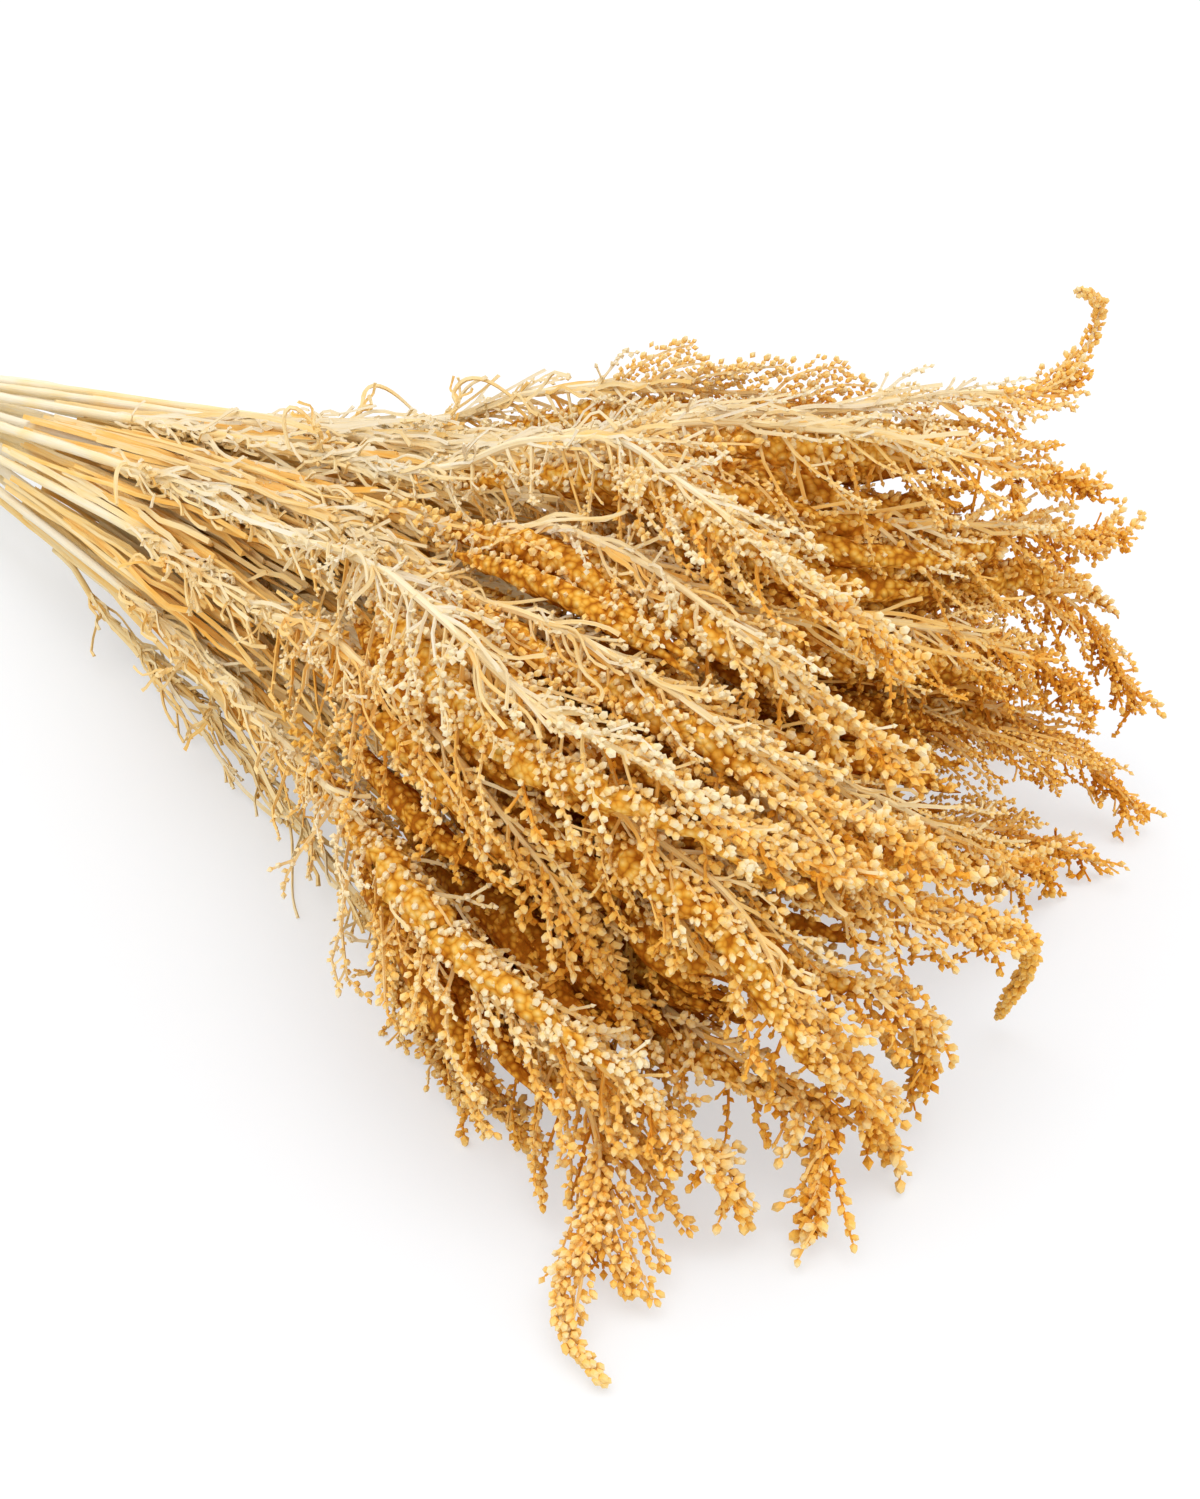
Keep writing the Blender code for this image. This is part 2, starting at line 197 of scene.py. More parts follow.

# Buds. The small ones and the dark ones, which are mostly darkened by painted shade, are plainer
# shapes.
BUD_LENGTH = 0.0027
BUD_WIDTH = 0.0019
BUD_SPACING = (0.0021, 0.0017)
BUD_SIZE = ((0, 0.35, 0.7, 1), (0.7, 0.82, 1.0, 1.3))
CHAIN_SPACING = 0.0011
PLAIN_BELOW_SIZE = 0.9
PLAIN_BELOW_TONE = 0.42
NEAR_AND_FAR_SIZE = ((-0.09, 0.05), (0.98, 0.74))
# Painted shade on the tips of the plumes that lie far off.
NEAR_AND_FAR_PAINTED_SHADE = ((-0.09, 0.05), (0, 0.2))

# Wiry leaflets and thin twigs, between the bare stems and the plumes.
BARE_REACH = 0.23
FOLIAGE_TONE = 0.75
SPRAYS_PER_STEM = 1
SPRAY_LENGTH = 0.015
SPRAY_STEPS = 6
LEAFLETS_PER_SPRAY = 6
LEAFLET_LENGTH = 0.0048
LEAFLET_RADIUS = 0.0006
LEAFLET_TAPER = np.array((0.9, 0.75, 0.85, 1.35))
CURLS_PER_STEM = 50
STRANDS_PER_STEM = 58
STRAND_LENGTH = 0.038
STRAND_RADIUS = 0.00064
STRANDS_PER_PLUME = 18
TWIGS_PER_STEM = 2
TWIG_RADIUS = 0.0009
STRAND_WAVE = 0.003

# Leaves, which are rolled, with a curled stalk and a few hairs.
LEAF_SLICES = 8
LEAF_RADIUS = 0.0007
LEAF_RINGS = 14
LEAF_TONE = 0.6
LEAF_CURL = ((1.4, -0.6, -2.6), (3.4, 0.6, -1.4))
HAIRS_PER_LEAF = 6

# Colours, each behind its place on its ramp from dark to pale.
STRAW_COLOURS = (
    (0.0, 0.62, 0.20, 0.008),
    (0.25, 0.90, 0.43, 0.055),
    (0.5, 0.91, 0.60, 0.20),
    (0.75, 0.89, 0.71, 0.39),
    (1.0, 0.87, 0.78, 0.60),
)
BUD_COLOURS = (
    (0.0, 0.42, 0.12, 0.005),
    (0.2, 0.76, 0.31, 0.018),
    (0.45, 0.92, 0.51, 0.085),
    (0.7, 0.90, 0.62, 0.22),
    (1.0, 0.86, 0.73, 0.47),
)
PACKED_COLOURS = (
    (0.0, 0.44, 0.13, 0.006),
    (0.25, 0.77, 0.33, 0.028),
    (0.5, 0.90, 0.51, 0.09),
    (0.8, 0.92, 0.64, 0.24),
)
RUBBER_COLOURS = ((0.3, 0.50, 0.30, 0.13), (0.7, 0.68, 0.47, 0.25))

# Light. The floor has its own colour and glow in view, and lights the bunch as a white one does.
DOME = 1.0
SUN_WAY = (0.1, -0.12, 1.0)
SUN_ANGLE = math.radians(60)
SUN_STRENGTH = 1.07
FLOOR_COLOUR = (0.41, 0.42, 0.435)
FLOOR_GLOW = 0.51
FLOOR_BOUNCE = (0.78, 0.8, 0.82)

# The camera, in the frame's own coordinates. It looks at a point this far past the rubber band.
CAMERA_PAST_BAND = 0.42
CAMERA_TARGET_HEIGHT = 0.05
CAMERA_AZIMUTH = math.radians(47)
CAMERA_ELEVATION = math.radians(32)
CAMERA_DISTANCE = 0.663
CAMERA_LENS = 53.8


def unit(vectors):
    return vectors / np.maximum(np.linalg.norm(vectors, axis=-1, keepdims=True), 1e-12)


def side_axes(directions):
    """Two unit vectors square to each direction: one near to up, and one level."""
    level = np.cross(directions, UP)
    short = np.linalg.norm(level, axis=-1, keepdims=True) < 1e-3
    level = unit(np.where(short, (0.0, 1.0, 0.0), level))
    return unit(np.cross(level, directions)), level


def turned(directions, turn):
    """Unit vectors square to the directions, at this turn from their upward side."""
    up, level = side_axes(directions)
    return up * np.cos(turn)[..., None] + level * np.sin(turn)[..., None]


def keep_above(points, height):
    """Lifts the points that lie lower than this, in place."""
    points[..., 2] = np.maximum(points[..., 2], height)


def welded(node):
    """A CAD node's points and triangles, with the points that share a place made one."""
    mesh = node.data
    mesh.calc_loop_triangles()
    points = np.empty(3 * len(mesh.vertices), np.float32)
    mesh.vertices.foreach_get("co", points)
    faces = np.empty(3 * len(mesh.loop_triangles), np.int32)
    mesh.loop_triangles.foreach_get("vertices", faces)
    points, index = np.unique(np.round(points.reshape(-1, 3), 6), axis=0, return_inverse=True)
    return points.astype(float), index.reshape(-1)[faces].reshape(-1, 3)


def ring_centres(node, start, sides):
    """The centres and radii of a CAD tube's rings, from the end that is nearest to start."""
    points, faces = welded(node)
    near = {i: set() for i in range(len(points))}
    for a, b, c in faces:
        near[a] |= {b, c}
        near[b] |= {a, c}
        near[c] |= {a, b}
    order = np.argsort(np.linalg.norm(points - start, axis=1))
    ring = set(order[:sides].tolist())
    seen = set(ring)
    centres, radii = [], []
    while ring:
        corners = points[sorted(ring)]
        centres.append(corners.mean(axis=0))
        radii.append(np.linalg.norm(corners - centres[-1], axis=1).mean())
        ring = set().union(*(near[i] for i in ring)) - seen
        seen |= ring
    return np.array(centres), np.array(radii)


class Axis:
    """A smooth line through some points. It can be read at any share of its length, or past it."""

    def __init__(self, knots, radii):
        steps = np.linalg.norm(np.diff(knots, axis=0), axis=1)
        slopes = np.diff(knots, axis=0) / steps[:, None]
        before, after = steps[:-1, None], steps[1:, None]
        middle = (slopes[:-1] * after + slopes[1:] * before) / (before + after)
        bends = np.vstack([slopes[:1], middle, slopes[-1:]])
        t = np.linspace(0, 1, CURVE_STEPS, endpoint=False)[:, None]
        line = (
            (2 * t**3 - 3 * t**2 + 1) * knots[:-1, None]
            + (t**3 - 2 * t**2 + t) * steps[:, None, None] * bends[:-1, None]
            + (3 * t**2 - 2 * t**3) * knots[1:, None]
            + (t**3 - t**2) * steps[:, None, None] * bends[1:, None]
        )
        widths = radii[:-1, None] + np.diff(radii)[:, None] * t[:, 0]
        self.line = np.vstack([line.reshape(-1, 3), knots[-1:]])
        self.width = np.append(widths, radii[-1])
        steps = np.linalg.norm(np.diff(self.line, axis=0), axis=1)
        along = np.concatenate([[0], np.cumsum(steps)])
        self.length = along[-1]
        self.share = along / self.length
        self.tangents = unit(np.gradient(self.line, axis=0))

    def bow(self, first, way):
        """Bows the line this way between this share of its length and its far end."""
        past = ((self.share - first) / (1 - first)).clip(0, 1)
        self.line += np.sin(math.pi * past)[:, None] * way
        self.tangents = unit(np.gradient(self.line, axis=0))

    def read(self, share, values):
        return np.stack([np.interp(share, self.share, column) for column in values.T], axis=-1)

    def point(self, share):
        past = np.maximum(share - 1, 0)[..., None] * self.length * self.tangents[-1]
        return self.read(share, self.line) + past

    def beside(self, share, ways, radii):
        """The points this many radii out of the axis, along these ways."""
        return self.point(share) + ways * (self.radius(share) * radii)[..., None]

    def tangent(self, share):
        return unit(self.read(share, self.tangents))

    def radius(self, share):
        return np.interp(share, self.share, self.width)

    def path(self, share):
        """The axis itself, as one path and its radii."""
        return self.point(share)[None], self.radius(share)[None]


def new_object(name, data):
    made = bpy.data.objects.new(name, data)
    bpy.context.scene.collection.objects.link(made)
    return made


def crowding(points):
    """How crowded each cell of the bunch is: the grid's lowest corner, and the grid."""
    low = points.min(axis=0) - 2 * CELL
    index = ((points - low) / CELL).astype(int)
    shape = index.max(axis=0) + 3
    grid = np.bincount(np.ravel_multi_index(index.T, shape), minlength=shape.prod()).reshape(shape)
    grid = (grid / np.percentile(grid[grid > 0], CROWDED_PERCENTILE)).clip(0, MOST_CROWDED)
    for way in range(3):
        grid = 0.5 * grid + 0.25 * (np.roll(grid, 1, axis=way) + np.roll(grid, -1, axis=way))
    return low, grid


def exposure(points, low, grid):
    """How much of the light from above reaches each point through the crowd, from 0 to 1."""
    light = 0
    for way in SKY_WAYS:
        crowd = 0
        for step in range(1, SKY_STEPS + 1):
            index = ((points + way * step * CELL - low) / CELL).astype(int)
            index = np.clip(index, 0, np.array(grid.shape) - 1)
            crowd = crowd + grid[tuple(index.T)]
        light = light + np.exp(-SHADING * crowd)
    return light / len(SKY_WAYS)


class Sheets:
    """Triangles gathered for one piece.

    Each point has a grain, the place that its material's fibres are read at, and a tone, from dark
    to pale, which holds painted light and shade besides the thing's own colour. Each corner of a
    face has its place on the piece's map.
    """

    def __init__(self):
        self.points, self.faces, self.grain, self.tone, self.map = [], [], [], [], []
        self.count = 0

    def add(self, points, faces, grain, tone, corners):
        """Adds many copies of one layout of faces. The first dimension is the copies."""
        many, each = points.shape[:2]
        start = self.count + np.arange(many)[:, None, None] * each
        self.points.append(points.reshape(-1, 3))
        self.faces.append((faces + start).reshape(-1, 3))
        self.grain.append(grain.reshape(-1, 3))
        self.tone.append(np.broadcast_to(tone, points.shape[:2]).reshape(-1))
        place = np.broadcast_to(corners, (many, *corners.shape)).copy()
        if many > 1:
            strip = (np.arange(many) % MAP_STRIPS)[:, None, None]
            across = place[..., 0] * (1 - 2 * MAP_MARGIN) + MAP_MARGIN
            place[..., 0] = (across + strip) / MAP_STRIPS
        self.map.append(place.reshape(-1, 2))
        self.count += many * each

    def piece(self, *details, **more):
        """Keeps the triangles for make(), which runs when all pieces are known."""
        WAITING.append((self, details, more))

    def make(self, low, grid, name, finish, slot, *nodes, flat=True):
        """Makes the mesh object, which rides on the bunch and stands for the CAD nodes."""
        points = np.vstack(self.points)
        light = exposure(points, low, grid)
        points = points.astype(np.float32)
        faces = np.vstack(self.faces).astype(np.int32)
        mesh = bpy.data.meshes.new(name)
        mesh.vertices.add(len(points))
        mesh.vertices.foreach_set("co", points.ravel())
        mesh.loops.add(faces.size)
        mesh.loops.foreach_set("vertex_index", faces.ravel())
        mesh.polygons.add(len(faces))
        mesh.polygons.foreach_set("loop_start", np.arange(0, faces.size, 3, dtype=np.int32))
        mesh.update(calc_edges=True)
        if flat:
            mesh.shade_flat()
        grain = mesh.attributes.new("grain", "FLOAT_VECTOR", "POINT")
        grain.data.foreach_set("vector", np.vstack(self.grain).astype(np.float32).ravel())
        tone = mesh.attributes.new("tone", "FLOAT", "POINT")
        # Painted shade: a tone gets darker where little light from above comes through the crowd,
        # and paler where much does.
        tones = np.concatenate(self.tone) + PAINTED_SHADE_TONE * (light - PAINTED_SHADE_MIDDLE)
        tone.data.foreach_set("value", tones.astype(np.float32))
        uv = mesh.uv_layers.new(name="OFBake")
        uv.uv.foreach_set("vector", np.vstack(self.map).astype(np.float32).ravel())
        mesh.materials.append(finish)
        made = new_object(name, mesh)
        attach(made, "root")
        if nodes:
            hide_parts(*nodes)


def tube_layout(rings, sides):
    """The faces of a closed tube and its corners' places on the map."""

    def halves(one, other):
        """The corners of the two triangles that each square between two rings is split into."""
        return np.concatenate([np.stack(one, axis=-1), np.stack(other, axis=-1)])

    i, j = np.indices((rings - 1, sides)).reshape(2, -1)
    here = i * sides + j
    after = i * sides + (j + 1) % sides
    faces = halves((here, after, after + sides), (here, after + sides, here + sides))
    around = halves((j, j + 1, j + 1), (j, j + 1, j)) / sides
    along = halves((i, i, i + 1), (i, i + 1, i + 1)) / (rings - 1)
    fan = np.arange(1, sides - 1)
    first_end = np.stack([np.zeros_like(fan), fan + 1, fan], axis=-1)
    last_end = (rings - 1) * sides + first_end[:, ::-1]
    turn = math.tau * np.concatenate([first_end, last_end]) / sides
    end_places = 0.5 + MAP_END * np.stack([np.cos(turn), np.sin(turn)], axis=-1)
    corners = np.concatenate([np.stack([around, along], axis=-1), end_places])
    return np.concatenate([faces, first_end, last_end]), corners


def add_rings(sheets, centres, directions, widths, along, radii, tones):
    """Adds closed tubes by their rings, which are square to the directions.

    Centres are (tubes, rings, 3), widths are (tubes, rings, sides), and the rest is (tubes, rings).
    The material reads its grain at this place along the tube and at these radii.
    """
    many, rings, sides = widths.shape
    turn = np.linspace(0, math.tau, sides, endpoint=False)
    up, level = side_axes(directions)
    points = (
        centres[:, :, None]
        + (widths * np.cos(turn))[..., None] * up[:, :, None]
        + (widths * np.sin(turn))[..., None] * level[:, :, None]
    )
    grain = np.empty(points.shape)
    grain[..., 0] = along[..., None]
    grain[..., 1] = np.cos(turn) * radii[..., None]
    grain[..., 2] = np.sin(turn) * radii[..., None]
    tones = np.broadcast_to(tones[..., None], widths.shape).reshape(many, -1)
    faces, corners = tube_layout(rings, sides)
    sheets.add(points.reshape(many, -1, 3), faces, grain.reshape(many, -1, 3), tones, corners)


def add_tubes(sheets, paths, radii, sides, tone, rng, shape=1.0):
    """Adds a tube along each path. Paths are (tubes, rings, 3), and radii are (tubes, rings)."""
    many, rings, _ = paths.shape
    paths = paths.copy()
    keep_above(paths, radii)
    directions = unit(np.gradient(paths, axis=1))
    widths = radii[..., None] * (np.ones(sides) * shape)
    along = np.linalg.norm(np.diff(paths, axis=1, prepend=paths[:, :1]), axis=-1).cumsum(axis=1)
    along = along + rng.uniform(0, 5, (many, 1))
    tones = np.broadcast_to(np.reshape(tone, (-1, 1)), (many, rings))
    add_rings(sheets, paths, directions, widths, along, radii, tones)


def grow(origins, directions, lengths, bends, steps):
    """Paths that start along the directions and bend more the further they go."""
    paths = [origins]
    for step in range(steps):
        heading = unit(directions + bends * (step + 0.5) / steps)
        paths.append(paths[-1] + heading * (lengths / steps)[:, None])
    return np.stack(paths, axis=1)


def read_paths(paths, which, share):
    """The points and the headings at these shares of the chosen paths."""
    steps = paths.shape[1] - 1
    step = np.minimum(share * steps, steps - 1e-6)
    low = step.astype(int)
    ahead = paths[which, low + 1] - paths[which, low]
    return paths[which, low] + ahead * (step - low)[:, None], unit(ahead)


def bud_layout(*rings):
    """A bud of unit length and width along +Z: its points, faces and places on the map.

    A ring is its height and radius, and each is turned by half a side from the one before.
    """
    sides = 4
    points = [(0, 0, 0)]
    for number, (height, radius) in enumerate(rings):
        for i in range(sides):
            turn = math.tau * (i + number / 2) / sides
            points.append((radius * math.cos(turn), radius * math.sin(turn), height))
    points.append((0, 0, 1.04))
    faces, places = [], []
    last = 1 + sides * (len(rings) - 1)
    for i in range(sides):
        j = (i + 1) % sides
        u, v, w = i / sides, (i + 0.5) / sides, (i + 1) / sides
        faces += [(0, 1 + j, 1 + i), (last + i, last + j, len(points) - 1)]
        places += [((v, 0), (w, 0.3), (u, 0.3)), ((u, 0.74), (w, 0.74), (v, 1))]
        if len(rings) == 2:
            faces += [(1 + i, 1 + j, 5 + i), (1 + j, 5 + j, 5 + i)]
            places += [((u, 0.3), (w, 0.3), (u, 0.74)), ((w, 0.3), (w, 0.74), (u, 0.74))]
    return np.array(points, float), np.array(faces), np.array(places, float)


ROUND_BUD = bud_layout((0.3, 0.5), (0.74, 0.48))
PLAIN_BUD = bud_layout((0.5, 0.56))


def add_buds(buds, roots, directions, sizes, tones, rng):
    """Adds a bud at each root, pointing along its direction."""
    count = len(roots)
    length = BUD_LENGTH * sizes * rng.uniform(0.85, 1.15, count)
    width = BUD_WIDTH * sizes * rng.uniform(0.88, 1.12, count)
    lowest = np.minimum(roots[:, 2], roots[:, 2] + directions[:, 2] * length)
    roots = roots + UP * np.maximum(0, width * 0.5 - lowest)[:, None]
    plain = (sizes < PLAIN_BELOW_SIZE) | (tones < PLAIN_BELOW_TONE)
    tones = tones + rng.uniform(-0.08, 0.08, count)
    for (layout, faces, places), chosen in ((ROUND_BUD, ~plain), (PLAIN_BUD, plain)):
        one, two = side_axes(directions[chosen])
        x, y, z = layout.T
        points = (
            roots[chosen, None]
            + one[:, None] * (width[chosen, None] * x)[..., None]
            + two[:, None] * (width[chosen, None] * y)[..., None]
            + directions[chosen, None] * (length[chosen, None] * z)[..., None]
        )
        keep_above(points, 0.0002)
        grain = np.empty(points.shape)
        grain[..., 0] = z
        grain[..., 1] = x + rng.uniform(0, 40, (len(points), 1))
        grain[..., 2] = y
        buds.add(points, faces, grain, tones[chosen, None], places)


def add_chain(buds, axis, rng, first, spacing, size, tone):
    """A narrow chain of buds all round an axis, from this share of it to its tip."""
    count = max(4, int(axis.length * (1 - first) / spacing))
    share = first + (1 - first) * (np.arange(count) + rng.uniform(0, 0.8, count)) / count
    forward = axis.tangent(share)
    out = turned(forward, np.arange(count) * GOLDEN_ANGLE + rng.normal(0, 0.3, count))
    roots = axis.beside(share, out, rng.uniform(0.2, 1, count))
    lean = np.where(share > 0.97, 0.2, rng.uniform(0.45, 1.0, count))
    directions = unit(forward + out * lean[:, None])
    sizes = size * rng.uniform(0.85, 1.15, count)
    add_buds(buds, roots, directions, sizes, np.full(count, tone), rng)


def evenly(share, knots):
    """The knots, which lie at even steps from 0 to 1, read at these shares."""
    return np.interp(share, np.linspace(0, 1, len(knots)), knots)


def lift(share):
    """How far a plume's axis lies above the middle of its solid, as a share of the radius."""
    return np.interp(share, *LIFT)


def raceme_paths(axis, slim_from, rng):
    """A plume's small branches: each one's start, turn, reach, shares of the axis and path."""
    count = int(axis.length / RACEME_SPACING)
    order = np.arange(count)
    start = (order + rng.uniform(-0.6, 0.6, count) + 0.5) / count * LAST_RACEME - 0.01
    start = start.clip(0, 1) * (slim_from or 1)
    turn = MOST_TURN * (2 * ((order * GOLDEN_SHARE) % 1) - 1) + rng.normal(0, 0.2, count)
    forward = axis.radius(start) * rng.uniform(0.5, 2.1, count) + RACEME_LEAST
    forward = np.minimum(forward, (1 - start) * axis.length + RACEME_LEAST)
    clump = evenly(start, rng.normal(0, 0.22, CLUMPS)) * np.sign(turn)
    reach = (rng.uniform(0.5, 1.2, count) + clump).clip(0.3, 1.35)
    reach *= np.interp(start, *REACH)
    reach *= np.interp(np.abs(turn), *HANG)
    reach *= np.interp(start, (slim_from - 0.25, slim_from), (1, 0.25)) if slim_from else 1
    t = np.linspace(0, 1, RACEME_STEPS + 1)
    away = 1 - (1 - t) ** rng.uniform(1.2, 2.3, (count, 1))
    share = start[:, None] + forward[:, None] * t / axis.length
    tangent = axis.tangent(share)
    turns = np.repeat(turn[:, None], RACEME_STEPS + 1, axis=1)
    root = axis.beside(share, turned(tangent, 0 * turns), lift(share))
    end = axis.beside(share, turned(tangent, turns), reach[:, None])
    paths = root + (end - root) * away[..., None]
    paths += np.cumsum(rng.normal(0, RACEME_WAVE, paths.shape), axis=1) * t[:, None]
    paths[..., 2] -= RACEME_DROOP * t**2 * rng.uniform(-0.4, 1, (count, 1))
    keep_above(paths, 0.0012)
    return start, turn, reach, share, paths


def add_racemes(buds, twigs, axis, size, tone, painted_tip_shade, slim_from, rng):
    """Small branches that curve forward out of the plume's axis, with their side twigs and buds."""
    start, turn, reach, share, paths = raceme_paths(axis, slim_from, rng)
    count = len(start)
    taper = np.linspace(1.25, 0.7, RACEME_STEPS + 1)
    radii = RACEME_RADIUS * taper * rng.uniform(0.8, 1.25, (count, 1))
    # Painted light and shade: twigs on a plume's top are paler, and those underneath and the short
    # inner ones darker. The paler foot is the plume's own colour.
    under = np.interp(np.abs(turn), (1.5, 2.6), (0, 1))
    shade = 0.1 * np.cos(turn) - 0.2 * under + 0.3 * (reach.clip(0, 1) - 0.8)
    shade += np.interp(start, *PALE_FOOT)
    tones = tone + RACEME_TONE + shade + rng.uniform(*TWIG_TONES, count)
    add_tubes(twigs, paths, radii, TWIG_SIDES, tones, rng)
    lengths = np.linalg.norm(np.diff(paths, axis=1), axis=-1).sum(axis=1)
    first = np.interp(start, *BARE_PART) + rng.uniform(-0.12, 0.12, count)
    on_top = np.interp(np.abs(turn), (0.3, 1.1), (0.25, 0))
    first = np.minimum(first + on_top * np.interp(start, (0.6, 0.8), (1, 0)), 0.85)

    spacing = np.interp(start, (0.2, 0.6), BUD_SPACING) * size
    per_path = np.maximum(2, np.round(lengths * (1 - first) / spacing)).astype(int)
    which = np.repeat(np.arange(count), per_path)
    place = np.concatenate([np.arange(n) for n in per_path])
    along = first[which] + (1 - first[which]) * (place + 1) / per_path[which]
    roots, heading = read_paths(paths, which, along)
    at = (share[which, 0] + (share[which, -1] - share[which, 0]) * along).clip(0, 1)
    radial = roots - axis.point(at)
    depth = np.linalg.norm(radial, axis=1) / axis.radius(at)
    radial = unit(radial - heading * (radial * heading).sum(axis=1, keepdims=True))
    out = turned(heading, place * GOLDEN_ANGLE + rng.uniform(0, 6, count)[which])
    last = place == per_path[which] - 1
    lean = np.where(last, 0.3, rng.uniform(0.7, 1.3, len(place)))[:, None]
    directions = unit(heading + (radial * 0.35 + out) * lean)
    sizes = size * np.interp(at, *BUD_SIZE) * rng.uniform(0.74, 1.18, len(place))
    # Painted light and shade: buds on top are paler, and those underneath and deep near the axis
    # are darker. Paler towards the foot is their own colour.
    tones = tone + PALE_BUDS - PALE_BUDS * at + (0.06 * np.cos(turn) - 0.22 * under)[which]
    tones = tones - painted_tip_shade * np.interp(at, (0.6, 1), (0, 1))
    tones = tones + 0.35 * (depth.clip(0.1, 1.05) - 0.75)
    add_buds(buds, roots, directions, sizes, tones, rng)

    which = np.repeat(np.arange(count), np.where(start < 0.65, 2, 1))
    many = len(which)
    roots, heading = read_paths(paths, which, rng.uniform(0.1, 0.75, many))
    out = turned(heading, rng.uniform(0, 6.28, many))
    leaning = unit(heading + out * rng.uniform(0.4, 1.1, (many, 1)))
    curls = heading * 0.5 + rng.normal(0, 0.6, (many, 3))
    lengths = SIDE_TWIG_LENGTH * rng.uniform(0.5, 1.5, many)
    side_twigs = grow(roots, leaning, lengths, curls, steps=2)
    keep_above(side_twigs, 0.0008)
    radii = SIDE_TWIG_RADII * rng.uniform(0.8, 1.3, (many, 1))
    # Side twigs take their raceme's painted light and shade.
    tones = tone + SIDE_TWIG_TONE + shade[which] + rng.uniform(*TWIG_TONES, many)
    add_tubes(twigs, side_twigs, radii, TWIG_SIDES, tones, rng)
    budded = start[which] > rng.uniform(0.15, 0.55, many)
    headings = unit(side_twigs[:, -1] - side_twigs[:, -2])[budded]
    sizes = (size * 0.8 * rng.uniform(0.7, 1.2, many))[budded]
    roots = side_twigs[budded, -1] - headings * 0.0005
    add_buds(buds, roots, headings, sizes, tones[budded] + 0.06, rng)


def finger_paths(axis, share, turns, lengths, rng):
    """The paths of a plume's fingers, which leave it at these shares and turns from its top."""
    count = len(turns)
    tangent = axis.tangent(share)
    out = turned(tangent, turns)
    lengths = TUFT_LENGTH * lengths * rng.uniform(0.7, 1.15, count)
    directions = unit(tangent + out * rng.uniform(0.4, 0.8, (count, 1)))
    bends = -UP * rng.uniform(0.2, 0.8, (count, 1)) + rng.normal(0, 0.25, (count, 3))
    paths = grow(axis.beside(share, out, 0.45), directions, lengths, bends, FINGER_STEPS)
    keep_above(paths, BUD_WIDTH)
    return paths


def crest_paths(axis, rng):
    """The paths of the crest plume's fingers, which rise and then nod forward."""
    tangent = axis.tangent(CREST_AT)
    count = len(CREST_AT)
    out = turned(tangent, rng.uniform(-0.5, 0.5, count))
    bends = tangent * 1.5 - UP * rng.uniform(0.5, 1.1, (count, 1))
    lengths = CREST_LENGTH * rng.uniform(0.75, 1.2, count)
    origins = axis.beside(CREST_AT, out, 0.6)
    return grow(origins, unit(tangent * 0.7 + out), lengths, bends, FINGER_STEPS)


def add_cores(cores, buds, paths, radii, tones, rng, spacing):
    """A mass of packed buds along each path, with painted shade between the buds, and single buds
    out of its upper side.
    """
    lumps = rng.uniform(*CORE_LUMPS, (*paths.shape[:2], CORE_SIDES))
    add_tubes(cores, paths, radii, CORE_SIDES, tones, rng, lumps)
    for path, widths, tone in zip(paths, radii, np.broadcast_to(tones, len(paths))):
        axis = Axis(path, widths)
        count = int(axis.length / spacing)
        share = rng.uniform(0.02, 0.98, count)
        forward = axis.tangent(share)
        out = turned(forward, rng.uniform(-1.9, 1.9, count))
        roots = axis.beside(share, out, rng.uniform(0.8, 1.05, count))
        directions = unit(forward + out * rng.uniform(0.5, 1.6, (count, 1)))
        sizes = INNER_BUD * rng.uniform(0.7, 1.0, count)
        add_buds(buds, roots, directions, sizes, tone + rng.uniform(0, 0.2, count), rng)


def neighbours(axes):
    """Pairs of axes that lie side by side."""
    middles = np.array([axis.point(np.array(0.5)) for axis in axes])
    apart = np.linalg.norm(middles[:, None] - middles[None], axis=-1)
    near = np.argsort(apart, axis=1)[:, 1 : NEIGHBOURS + 1]
    return sorted({tuple(sorted((i, int(j)))) for i, row in enumerate(near) for j in row})


def paths_between(axes, rng, first, last, drop):
    """A wavy path between each pair of neighbours, from the first share of them to the last."""
    paths = []
    t = np.linspace(0, 1, BETWEEN_STEPS)
    for i, j in neighbours(axes):
        share = first + (last - first) * t
        part = rng.uniform(0.3, 0.7)
        path = axes[i].point(share) * part + axes[j].point(share) * (1 - part)
        wave = np.cumsum(rng.normal(0, BETWEEN_WAVE, path.shape), axis=0) * t[:, None]
        paths.append(path + wave - UP * drop * rng.uniform(0.3, 1) * t[:, None])
    return np.array(paths)


def add_fingers(buds, twigs, paths, rng, width, spacing, size, tone):
    """A thin branch along each path, packed with buds out to about this width on each side."""
    t = np.linspace(0, 1, paths.shape[1])
    radii = np.tile(FINGER_RADIUS * np.linspace(1.1, 0.6, len(t)), (len(paths), 1))
    tones = np.broadcast_to(tone, len(paths))
    add_tubes(twigs, paths, radii, TWIG_SIDES, tones + 0.1, rng)
    for path, path_tone in zip(paths, tones):
        axis = Axis(path, width * np.interp(t, (0, 0.35, 0.8, 1), (0.3, 1, 0.7, 0.2)))
        add_chain(buds, axis, rng, 0.1, spacing, size * rng.uniform(0.9, 1.1), path_tone)


def lifted(axis):
    """The plume's own axis, raised towards the top of its solid where the solid is thick."""
    share = np.linspace(0, 1, AXIS_RINGS)
    points = axis.beside(share, turned(axis.tangent(share), 0 * share), lift(share))
    return Axis(points, np.linspace(*AXIS_RADIUS, AXIS_RINGS))


